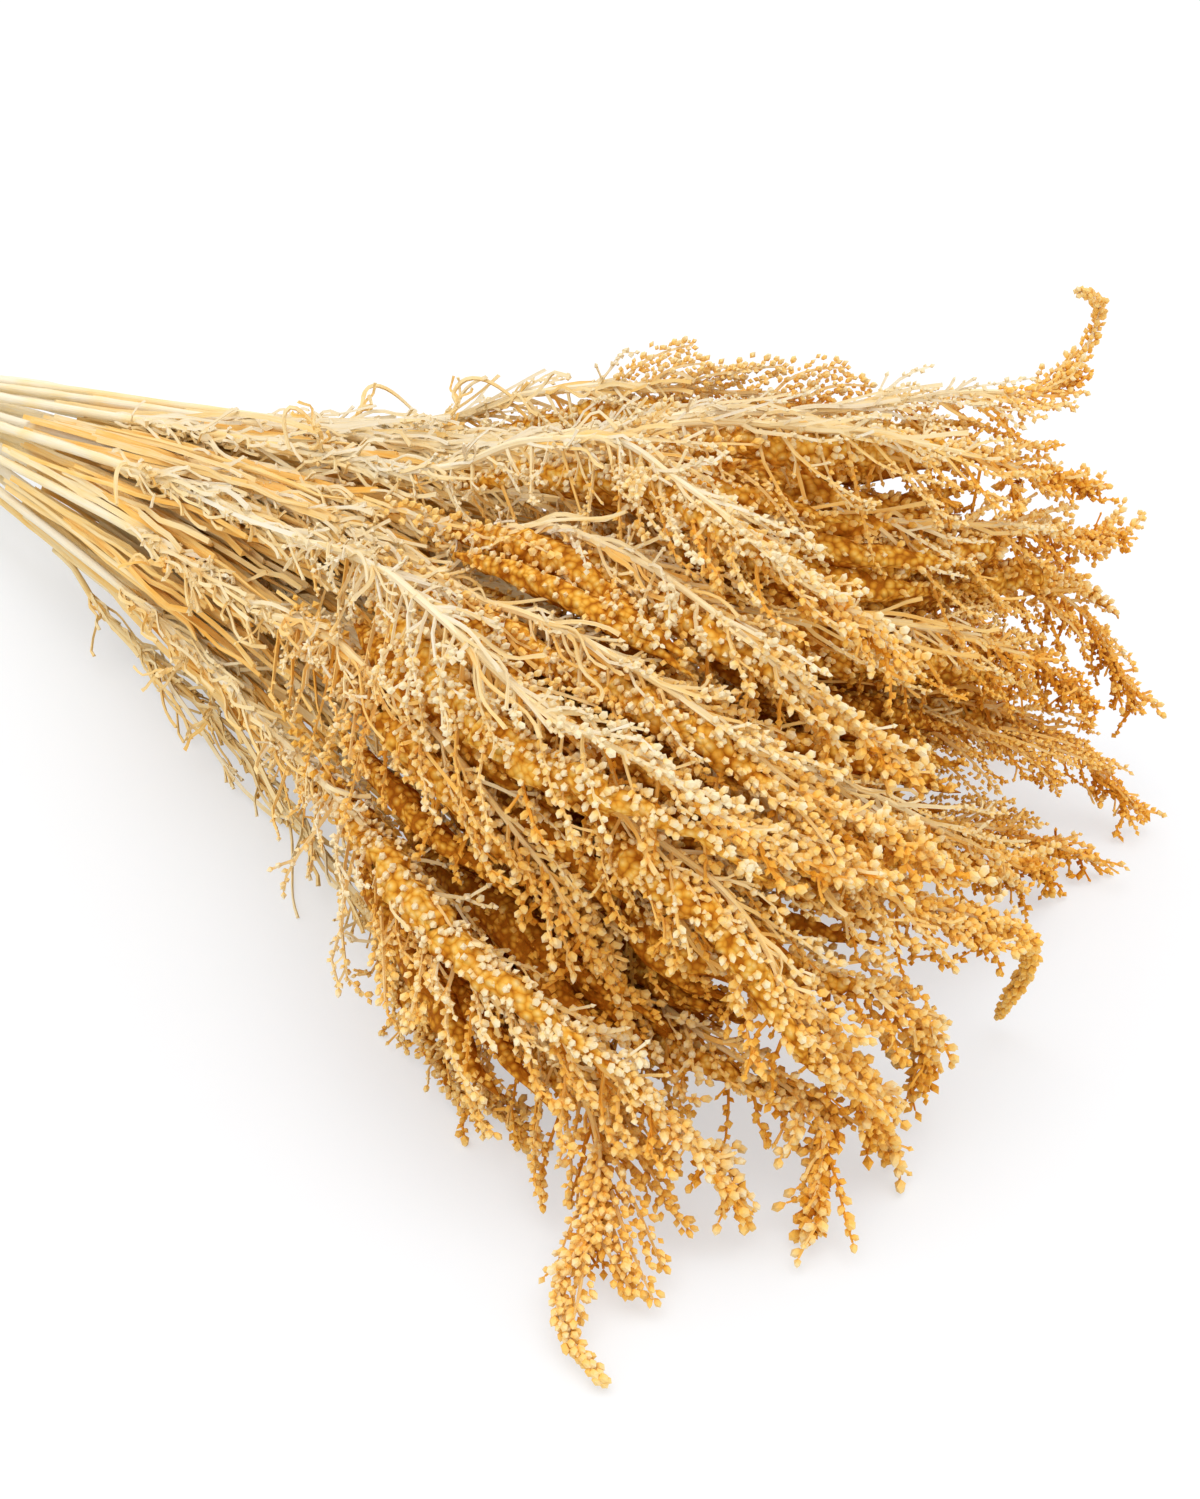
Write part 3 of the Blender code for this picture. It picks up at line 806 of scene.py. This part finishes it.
def add_sprays(straw, axis, share, length, tone, rng):
    """Short twigs at these shares of an axis, each with wiry leaflets that end in a knob."""
    count = len(share)
    tangent = axis.tangent(share)
    out = turned(tangent, rng.uniform(0.9, math.tau - 0.9, count))
    directions = unit(tangent + out * rng.uniform(0.05, 0.25, (count, 1)))
    lengths = length * rng.uniform(0.5, 1.3, count)
    bends = tangent * 1.2 - UP * rng.uniform(0, 0.3, (count, 1)) + rng.normal(0, 0.15, (count, 3))
    paths = grow(axis.beside(share, out, 0.6), directions, lengths, bends, SPRAY_STEPS)
    keep_above(paths, 0.0008)
    tones = tone + rng.uniform(-0.12, 0.16, count)
    taper = np.linspace(1, 0.6, SPRAY_STEPS + 1)
    radii = LEAFLET_RADIUS * taper * rng.uniform(0.8, 1.3, (count, 1))
    add_tubes(straw, paths, radii, 4, tones, rng)
    which = np.repeat(np.arange(count), LEAFLETS_PER_SPRAY)
    order = np.tile(np.arange(LEAFLETS_PER_SPRAY), count)
    many = len(order)
    place = (order + 0.6 + rng.uniform(-0.3, 0.3, many)) / LEAFLETS_PER_SPRAY
    roots, heading = read_paths(paths, which, place)
    side = turned(heading, order * 2.4 + rng.uniform(0, 6, count)[which])
    lengths = LEAFLET_LENGTH * rng.uniform(0.4, 1.3, many)
    leaning = unit(heading + side * rng.uniform(0.15, 0.5, (many, 1)))
    curls = heading * 1.3 - UP * 0.15 + rng.normal(0, 0.4, (many, 3))
    leaflets = grow(roots, leaning, lengths, curls, len(LEAFLET_TAPER) - 1)
    keep_above(leaflets, 0.0006)
    radii = LEAFLET_RADIUS * LEAFLET_TAPER * rng.uniform(0.75, 1.25, (many, 1))
    tones = tones[which] + rng.uniform(-0.1, 0.12, many)
    add_tubes(straw, leaflets, radii, TWIG_SIDES, tones, rng)


def add_strands(
    straw, axis, share, tone, rng, length, curl, radius=STRAND_RADIUS, lean=(0.1, 0.45), steps=9
):
    """Thin wavy strands that leave an axis at these shares and run forward along it."""
    count = len(share)
    tangent = axis.tangent(share)
    turn = rng.uniform(-math.pi, math.pi, count)
    out = turned(tangent, turn)
    leans = rng.uniform(*lean, count) * np.interp(np.cos(turn), (0.2, 0.8), (1, 0.25))
    directions = unit(tangent + out * leans[:, None])
    lengths = length * rng.uniform(0.5, 1.4, count)
    bends = tangent * 1.1 + rng.normal(0, curl, (count, 3)) * (1, 1, 0.5)
    paths = grow(axis.beside(share, out, 0.7), directions, lengths, bends, steps)
    t = np.linspace(0, 1, steps + 1)
    for side in (out, np.cross(tangent, out)):
        wave = np.sin(t * rng.uniform(3, 9, (count, 1)) + rng.uniform(0, 6, (count, 1))) * t**0.5
        paths += wave[..., None] * side[:, None] * rng.uniform(0.1, 1, (count, 1, 1)) * STRAND_WAVE
    keep_above(paths, 0.001)
    taper = np.interp(t, (0, 0.8, 1), (1.1, 0.8, 1.1))
    radii = radius * taper * rng.uniform(0.75, 1.3, (count, 1))
    # Painted light: strands on the axis's upper side are paler and those underneath darker.
    tones = tone + 0.1 * np.cos(turn) + rng.uniform(-0.1, 0.1, count)
    add_tubes(straw, paths, radii, TWIG_SIDES, tones, rng)
    return paths


def dress_plume(name, axis, tone, cores, rng, side_tufts=True):
    """Replaces one CAD plume with its axis, its branchlets and its buds."""
    buds, twigs = Sheets(), Sheets()
    main = lifted(axis)
    number = name[-2:]
    rings = np.linspace(0, 1, max(4, int(main.length / AXIS_RING_SPACING)))
    add_tubes(twigs, *main.path(rings), AXIS_SIDES, tone + 0.18, rng)
    middle, end = axis.point(np.array((0.5, 0.9)))[:, 1]
    size = np.interp(middle, *NEAR_AND_FAR_SIZE) * rng.uniform(0.95, 1.05)
    painted_tip_shade = np.interp(end, *NEAR_AND_FAR_PAINTED_SHADE)
    last = SLIM_FROM.get(number)
    add_racemes(buds, twigs, axis, size, tone, painted_tip_shade, last, rng)
    tip_tone = tone + 0.05 - painted_tip_shade
    add_chain(buds, main, rng, 0.8, CHAIN_SPACING * size, size * 1.05, tip_tone)
    if last:
        slim = Axis(main.line[::8], np.interp(main.share[::8], (0.7, 1), SLIM_RADIUS))
        add_chain(buds, slim, rng, last - 0.12, SLIM_SPACING, size * 1.1, tone - painted_tip_shade)
    last = last or 1.0
    share = np.linspace(CORE[0][0], CORE[0][-1], int(axis.length / CORE_RING_SPACING)) * last
    paths = axis.point(share) + np.cumsum(rng.normal(0, 0.0005, (len(share), 3)), axis=0)
    radii = axis.radius(share) * np.interp(share / last, *CORE)
    add_cores(cores, buds, paths[None], radii[None], tone + 0.03, rng, spacing=0.00048)
    if side_tufts:
        turns = rng.uniform(0.5, 2.0, TUFTS_PER_PLUME) * rng.choice((-1, 1), TUFTS_PER_PLUME)
        tufts = (rng.uniform(*TUFT_AT, TUFTS_PER_PLUME), turns, np.ones(TUFTS_PER_PLUME))
        tufts = np.array(PLACED_TUFTS.get(number, tufts))
        if tufts.size:
            paths = finger_paths(axis, *tufts, rng)
            spacing = TUFT_SPACING * size
            add_fingers(buds, twigs, paths, rng, TUFT_WIDTH, spacing, size, tone - 0.03)
        if number == CREST_PLUME:
            paths = crest_paths(axis, rng)
            spacing = TUFT_SPACING * 0.6
            add_fingers(buds, twigs, paths, rng, CREST_WIDTH, spacing, 0.95, tone - 0.06)
        shares = rng.uniform(0.0, 0.5, STRANDS_PER_PLUME)
        add_strands(twigs, main, shares, tone, rng, length=STRAND_LENGTH * 0.8, curl=0.4)
    buds.piece(f"{name}_buds", BUD, "dried_buds", name)
    twigs.piece(f"{name}_twigs", STRAW, "straw", name)


def dress_gaps(stems, plumes, cores, rng):
    """Branches, cores and strands that fill the bunch between one stalk and the next, darker than
    the stalks as painted shade.
    """
    buds, twigs = Sheets(), Sheets()
    for first, last, drop, radius in FILL_SPANS:
        paths = paths_between(plumes, rng, first, last, drop)
        keep_above(paths, 0.004)
        tones = np.interp(paths[..., 2].mean(axis=1), *FILL_PAINTED_SHADE_TONE)
        if radius:
            paths = paths[:, :-3] - UP * 0.004
            bulge = np.sin(np.linspace(0.2, 3.1, paths.shape[1]))
            radii = radius * bulge * np.ones((len(paths), 1))
            add_cores(cores, buds, paths, radii, tones, rng, spacing=0.0016)
        else:
            paths = paths[:, ::2]
            add_fingers(buds, twigs, paths, rng, FILL_WIDTH, FILL_SPACING, INNER_BUD, tones)
    # Painted shade: the cores and strands between the stems are darker than the stems.
    for _ in range(NECK_CORES):
        span = rng.uniform((0.58, 0.9), (0.7, 1.05))
        paths = paths_between(stems, rng, *span, drop=0.012)[:, ::2]
        many, rings, _ = paths.shape
        bulge = np.sin(np.linspace(0.1, 3.0, rings))
        radii = NECK_CORE_RADIUS * bulge * rng.uniform(0.6, 1.2, (many, 1))
        ridges = rng.uniform(0.6, 1.4, (many, 1, CORE_SIDES)) * rng.uniform(0.8, 1.2, (1, rings, 1))
        add_tubes(twigs, paths, radii, CORE_SIDES, rng.uniform(0.36, 0.54, many), rng, ridges)
    for _ in range(NECK_STRANDS):
        span = rng.uniform((0.4, 0.85), (0.7, 1.05))
        paths = paths_between(stems, rng, *span, drop=0.004)[:, ::2]
        many, rings, _ = paths.shape
        radii = STRAND_RADIUS * rng.uniform(1.0, 2.0, (many, 1)) * np.ones(rings)
        add_tubes(twigs, paths, radii, TWIG_SIDES, rng.uniform(0.35, 0.7, many), rng)
    buds.piece("inner_buds", BUD, "dried_buds")
    twigs.piece("inner_twigs", STRAW, "straw")


def dress_stem(name, node, axis, tone, rng):
    """Replaces one CAD stem with a ridged, fibrous one of the same thickness, hollow at its cut."""
    rings = int(axis.length / STRAW_RING_SPACING)
    share = np.linspace(0, 1, rings)
    turn = np.linspace(0, math.tau, STRAW_SIDES, endpoint=False)
    twist = rng.uniform(0, 6) + share[:, None] * rng.uniform(-2, 2)
    ridges = 1 + RIDGE_DEPTH * np.cos(RIDGES * turn + twist)
    ridges = ridges + rng.normal(0, RIDGE_NOISE, (rings, STRAW_SIDES))
    scars = rng.uniform(0.1, 1, SCARS_PER_STEM)
    near_scar = np.exp(-(((share[:, None] - scars) * axis.length / SCAR_LENGTH) ** 2)).sum(axis=1)
    swell = 1 + SWELL * evenly(share, rng.normal(0, 1, 24).clip(-1.5, 1.5))
    radii = axis.radius(share) * swell * (1 + SCAR_SWELL * near_scar)
    tones = tone - SCAR_SHADE * near_scar + TONE_CHANGE * evenly(share, rng.normal(0, 1, 9))

    # The first ring is repeated three times for the hollow, from its bottom out to its rim.
    hollow = len(HOLLOW_TONES)
    order = np.concatenate([[0] * hollow, np.arange(rings)])
    centres = axis.point(share)[order]
    directions = axis.tangent(share)[order]
    centres[: hollow - 1] += directions[0] * HOLLOW_DEPTH
    widths = (radii[:, None] * ridges)[order]
    widths[:hollow] = radii[0] * np.array(HOLLOW_WIDTHS)
    tones = np.concatenate([HOLLOW_TONES, tones])
    along = (share * axis.length)[order] + rng.uniform(0, 5)
    across = np.full(len(order), radii.mean())
    rows = (centres, directions, widths, along, across, tones)
    straw = Sheets()
    add_rings(straw, *(row[None] for row in rows))
    keep_above(straw.points[0], 0.0001)
    straw.piece(f"{name}_straw", STRAW, "straw", node, flat=False)


def dress_foliage(name, stem, spray_length, tone, rng):
    """The wiry leaflets, curled strands and thin side twigs of one stem."""
    straw = Sheets()
    band = np.mean(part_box("rubber_band"), axis=0)
    reach = np.linalg.norm(stem.line[:, :2] - band[:2], axis=1) * np.sign(stem.line[:, 0] - band[0])
    bare = min(0.8, np.interp(BARE_REACH + rng.uniform(-0.05, 0.03), reach, stem.share))
    add_sprays(straw, stem, rng.uniform(bare + 0.05, 1, SPRAYS_PER_STEM), spray_length, tone, rng)
    close = {"lean": (0.05, 0.3)}
    shares = rng.uniform(bare, 1, STRANDS_PER_STEM)
    add_strands(straw, stem, shares, tone + 0.03, rng, length=STRAND_LENGTH, curl=0.35, **close)
    shares = rng.uniform(bare, 1, CURLS_PER_STEM)
    add_strands(straw, stem, shares, tone, rng, length=0.019, curl=0.4, steps=7, **close)
    shares = rng.uniform(bare + 0.03, 0.9, TWIGS_PER_STEM)
    thick = {"length": 0.070, "curl": 0.25, "radius": TWIG_RADIUS}
    for path in add_strands(straw, stem, shares, tone + 0.15, rng, **thick):
        twig = Axis(path, np.full(len(path), TWIG_RADIUS * 0.8))
        add_sprays(straw, twig, rng.uniform(0.4, 1, 3), SPRAY_LENGTH * 0.5, tone + 0.05, rng)
    straw.piece(f"{name}_leaflets", STRAW, "straw")


def dress_leaf(name, node, rng):
    """Replaces one CAD leaf with a rolled one that carries hairs along its middle line."""
    points, _ = welded(node)
    middle = points.mean(axis=0)
    long_way = np.linalg.svd(points - middle, full_matrices=False)[2][0]
    along = (points - middle) @ long_way
    edges = np.linspace(along.min(), along.max(), LEAF_SLICES)
    knots = []
    for low, high in zip(edges[:-1], edges[1:]):
        inside = (along >= low - 1e-6) & (along <= high + 1e-6)
        if inside.any():
            knots.append(points[inside].mean(axis=0))
    axis = Axis(np.array(knots), np.full(len(knots), LEAF_RADIUS))
    straw = Sheets()
    add_tubes(straw, *axis.path(np.linspace(0, 1, LEAF_RINGS)), 6, LEAF_TONE, rng)
    for end in (0.0, 1.0):
        start = axis.point(np.array([end]))
        heading = axis.tangent(np.array([end])) * (2 * end - 1)
        if heading[0] @ UP > 0.3:
            bend = rng.uniform(*LEAF_CURL)[None]
            arc = grow(start, heading, rng.uniform(0.014, 0.03, 1), bend, steps=10)
            radii = STRAND_RADIUS * np.linspace(1.3, 0.9, 11)[None]
            add_tubes(straw, arc, radii, 4, LEAF_TONE, rng)
    hairs = {"length": 0.010, "curl": 0.3, "lean": (0.0, 0.2), "steps": 7}
    add_strands(straw, axis, rng.uniform(0.0, 0.9, HAIRS_PER_LEAF), LEAF_TONE - 0.05, rng, **hairs)
    straw.piece(f"{name}_rolled", STRAW, "straw", name)


def new_node(tree, kind, sockets=(), **settings):
    """Makes a shader node and returns its outputs. A socket gets a value, or another's output."""
    made = tree.nodes.new(f"ShaderNode{kind}")
    for name, value in settings.items():
        setattr(made, name, value)
    for name, value in dict(sockets).items():
        if isinstance(value, bpy.types.NodeSocket):
            tree.links.new(value, made.inputs[name])
        else:
            made.inputs[name].default_value = value
    return made.outputs


def noise(tree, vector, stretch, detail):
    place = new_node(tree, "Mapping", {"Vector": vector, "Scale": stretch})["Vector"]
    return new_node(tree, "TexNoise", {"Vector": place, "Scale": 1.0, "Detail": detail})["Fac"]


def times_plus(tree, *parts):
    """value x factor + addend, where each part is a socket or a number."""
    return new_node(tree, "Math", enumerate(parts), operation="MULTIPLY_ADD")["Value"]


def new_material(name, roughness, shine):
    made = bpy.data.materials.new(name)
    made.use_nodes = True
    shader = made.node_tree.nodes["Principled BSDF"]
    shader.inputs["Roughness"].default_value = roughness
    shader.inputs["Specular IOR Level"].default_value = shine
    return made, made.node_tree, shader


def new_finish(name, pattern, stops, roughness, shine, strength, distance):
    """A material whose pattern gives the place on a ramp of colours, and the height of its bump."""
    made, tree, shader = new_material(name, roughness, shine)
    level, height = pattern(tree)
    colour = new_node(tree, "ValToRGB", {"Fac": level})["Color"]
    elements = colour.node.color_ramp.elements
    elements[1].position = stops[-1][0]
    for position, *_ in stops[1:-1]:
        elements.new(position)
    for element, (position, *shade) in zip(elements, stops):
        element.position, element.color = position, (*shade, 1)
    bump = {"Strength": strength, "Distance": distance, "Height": height}
    tree.links.new(colour, shader.inputs["Base Color"])
    tree.links.new(new_node(tree, "Bump", bump)["Normal"], shader.inputs["Normal"])
    return made


def straw_pattern(tree):
    """Dry straw: long fibres and patches, from warm tan to pale cream."""
    grain = new_node(tree, "Attribute", attribute_name="grain")["Vector"]
    tone = new_node(tree, "Attribute", attribute_name="tone")["Fac"]
    fibres = noise(tree, grain, stretch=(55, 2600, 2600), detail=3)
    patches = noise(tree, grain, stretch=(45, 160, 160), detail=2)
    level = times_plus(tree, fibres, 0.5, -0.5)
    level = times_plus(tree, patches, 0.5, level)
    return times_plus(tree, tone, 1.0, level), fibres


def bud_pattern(tree):
    """Dried buds: deep orange where they sit, golden at the middle and creamy at the tip; the dark
    base is partly their own colour and partly painted shade among the buds.
    """
    grain = new_node(tree, "Attribute", attribute_name="grain")["Vector"]
    tone = new_node(tree, "Attribute", attribute_name="tone")["Fac"]
    height = new_node(tree, "SeparateXYZ", {"Vector": grain})["X"]
    wrinkles = noise(tree, grain, stretch=(3.5, 3.5, 3.5), detail=3)
    # Partly painted shade: each bud is darker where it sits among the others and paler at its tip.
    pale_tip_and_shaded_base = times_plus(tree, height, 0.7, 0.6)
    return times_plus(tree, pale_tip_and_shaded_base, tone, times_plus(tree, wrinkles, 0.3, -0.06)), wrinkles


def packed_pattern(tree):
    """Buds packed side by side: each is golden at its middle, with a dark gap round it that is
    painted shade.
    """
    tone = new_node(tree, "Attribute", attribute_name="tone")["Fac"]
    where = new_node(tree, "TexCoord")["Object"]
    from_middle = new_node(tree, "TexVoronoi", {"Vector": where, "Scale": 420})["Distance"]
    patches = noise(tree, where, stretch=(110, 110, 110), detail=2)
    level = times_plus(tree, from_middle, -1.0, 0.2)
    level = times_plus(tree, patches, 0.4, level)
    level = times_plus(tree, tone, 0.8, level)
    return level, level


def rubber_pattern(tree):
    """Natural rubber, dull and slightly dusty."""
    where = new_node(tree, "TexCoord")["Object"]
    dust = noise(tree, where, stretch=(500, 500, 500), detail=4)
    return dust, dust


def stalk_axes(stem_node, plume_node):
    """The centre lines of a CAD stem, from its cut end, and of the plume that goes on from it."""
    points, _ = welded(stem_node)
    stem = ring_centres(stem_node, points[np.argmin(points[:, 0])], CAD_STEM_SIDES)
    plume = ring_centres(plume_node, stem[0][-1], CAD_PLUME_SIDES)
    return Axis(*stem), Axis(*plume)


def dress_bunch():
    """Every stalk's stem, foliage and plume, and the other CAD nodes."""
    nodes = frame["nodes"]
    names = sorted(name[5:] for name in nodes if name.startswith("stem_"))
    heights = {name: np.mean(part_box(f"plume_{name}"), axis=0)[2] for name in names}
    top = max(heights.values())
    stems, plumes = [], []
    cores = Sheets()
    for number, name in enumerate(names):
        rng = np.random.default_rng((SEED, number))
        stem, plume = stalk_axes(nodes[f"stem_{name}"], nodes[f"plume_{name}"])
        if name == TAIL_PLUME:
            plume.bow(TAIL_BOWS_FROM, TAIL_BOW)
        stems.append(stem)
        plumes.append(plume)
        # Painted shade: the lower a stalk's plume lies, the darker the tones of its stem, foliage
        # and plume.
        shade = 1 - heights[name] / top
        stem_tone = rng.choice(STEM_TONES) - 0.1 * shade
        plume_tone = PLUME_TONE - 0.1 * shade + rng.uniform(-0.06, 0.06)
        dress_stem(f"stem_{name}", f"stem_{name}", stem, stem_tone, rng)
        dress_foliage(f"stem_{name}", stem, SPRAY_LENGTH, FOLIAGE_TONE - 0.2 * shade, rng)
        dress_plume(f"plume_{name}", plume, plume_tone, cores, rng)
    rng = np.random.default_rng((SEED, len(names)))
    dress_gaps(stems, plumes, cores, rng)
    shoot, plume = stalk_axes(nodes["side_shoot_stem"], nodes["side_shoot_plume"])
    dress_stem("side_shoot", "side_shoot_stem", shoot, 0.6, rng)
    dress_foliage("side_shoot", shoot, SPRAY_LENGTH * 0.6, 0.6, rng)
    dress_plume("side_shoot_plume", plume, 0.45, cores, rng, side_tufts=False)
    cores.piece("inner_cores", PACKED, "dried_buds", flat=False)
    for name in sorted(nodes):
        if name.startswith("leaf_"):
            dress_leaf(name, nodes[name], rng)
    nodes["rubber_band"].data.materials[0] = RUBBER
    low, grid = crowding(np.vstack([part for sheets, _, _ in WAITING for part in sheets.points]))
    for sheets, details, more in WAITING:
        sheets.make(low, grid, *details, **more)


def add_camera():
    turn, rise = CAMERA_AZIMUTH, CAMERA_ELEVATION
    level = math.cos(rise)
    back = np.array((math.sin(turn) * level, -math.cos(turn) * level, math.sin(rise)))
    band = np.mean(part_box("rubber_band"), axis=0)
    target = np.array((band[0] + CAMERA_PAST_BAND, band[1], CAMERA_TARGET_HEIGHT))
    data = bpy.data.cameras.new("camera")
    data.lens = CAMERA_LENS
    data.sensor_width = 36
    data.clip_start = 0.01
    made = new_object("camera", data)
    made.location = target + back * CAMERA_DISTANCE
    made.rotation_euler = (math.pi / 2 - rise, 0, turn)
    bpy.context.scene.camera = made


def straight_view(tree):
    """1 for what the camera sees, straight or in gloss or glass, and otherwise 0."""
    path = new_node(tree, "LightPath")
    total = path["Is Camera Ray"]
    for other in ("Is Glossy Ray", "Is Transmission Ray"):
        total = new_node(tree, "Math", {0: total, 1: path[other]}, operation="MAXIMUM")["Value"]
    return total


def add_floor():
    """A plain white floor that keeps the shadow."""
    bpy.ops.mesh.primitive_plane_add(size=12)
    made = bpy.context.object
    made.name = "floor"
    finish, tree, shader = new_material("white_floor", roughness=0.9, shine=0.12)
    seen = straight_view(tree)
    sockets = {0: seen, 6: (*FLOOR_BOUNCE, 1), 7: (*FLOOR_COLOUR, 1)}
    tree.links.new(new_node(tree, "Mix", sockets, data_type="RGBA")[2], shader.inputs["Base Color"])
    strength = times_plus(tree, seen, FLOOR_GLOW, 0.0)
    glow = new_node(tree, "Emission", {"Strength": strength})[0]
    both = new_node(tree, "AddShader", {0: shader.outputs["BSDF"], 1: glow})[0]
    tree.links.new(both, tree.nodes["Material Output"].inputs["Surface"])
    made.data.materials.append(finish)


def add_sun():
    """A soft lamp so far off that it lights everything alike."""
    data = bpy.data.lights.new("key", "SUN")
    data.angle = SUN_ANGLE
    data.energy = SUN_STRENGTH
    x, y, z = SUN_WAY
    turn = (math.atan2(math.hypot(x, y), z), 0, math.atan2(y, x) + math.pi / 2)
    new_object("key", data).rotation_euler = turn


def add_world():
    """A white studio all round."""
    world = bpy.data.worlds.new("studio")
    bpy.context.scene.world = world
    world.use_nodes = True
    tree = world.node_tree
    background = tree.nodes["Background"]
    background.inputs["Color"].default_value = (1, 1, 1, 1)
    sockets = {"Value": straight_view(tree), "To Min": DOME, "To Max": 1.0}
    level = new_node(tree, "MapRange", sockets)["Result"]
    tree.links.new(level, background.inputs["Strength"])


# Each finish has its roughness and shine, and then its bump's strength and depth.
STRAW = new_finish("straw_fibres", straw_pattern, STRAW_COLOURS, 0.6, 0.03, 0.5, 0.0004)
BUD = new_finish("dried_bud_skin", bud_pattern, BUD_COLOURS, 0.5, 0.1, 0.4, 0.0004)
PACKED = new_finish("packed_buds_skin", packed_pattern, PACKED_COLOURS, 0.7, 0.05, 1.0, 0.0014)
RUBBER = new_finish("natural_rubber_skin", rubber_pattern, RUBBER_COLOURS, 0.55, 0.2, 0.2, 0.0003)
dress_bunch()
add_camera()
add_floor()
add_sun()
add_world()
bpy.context.scene.view_settings.view_transform = "Standard"
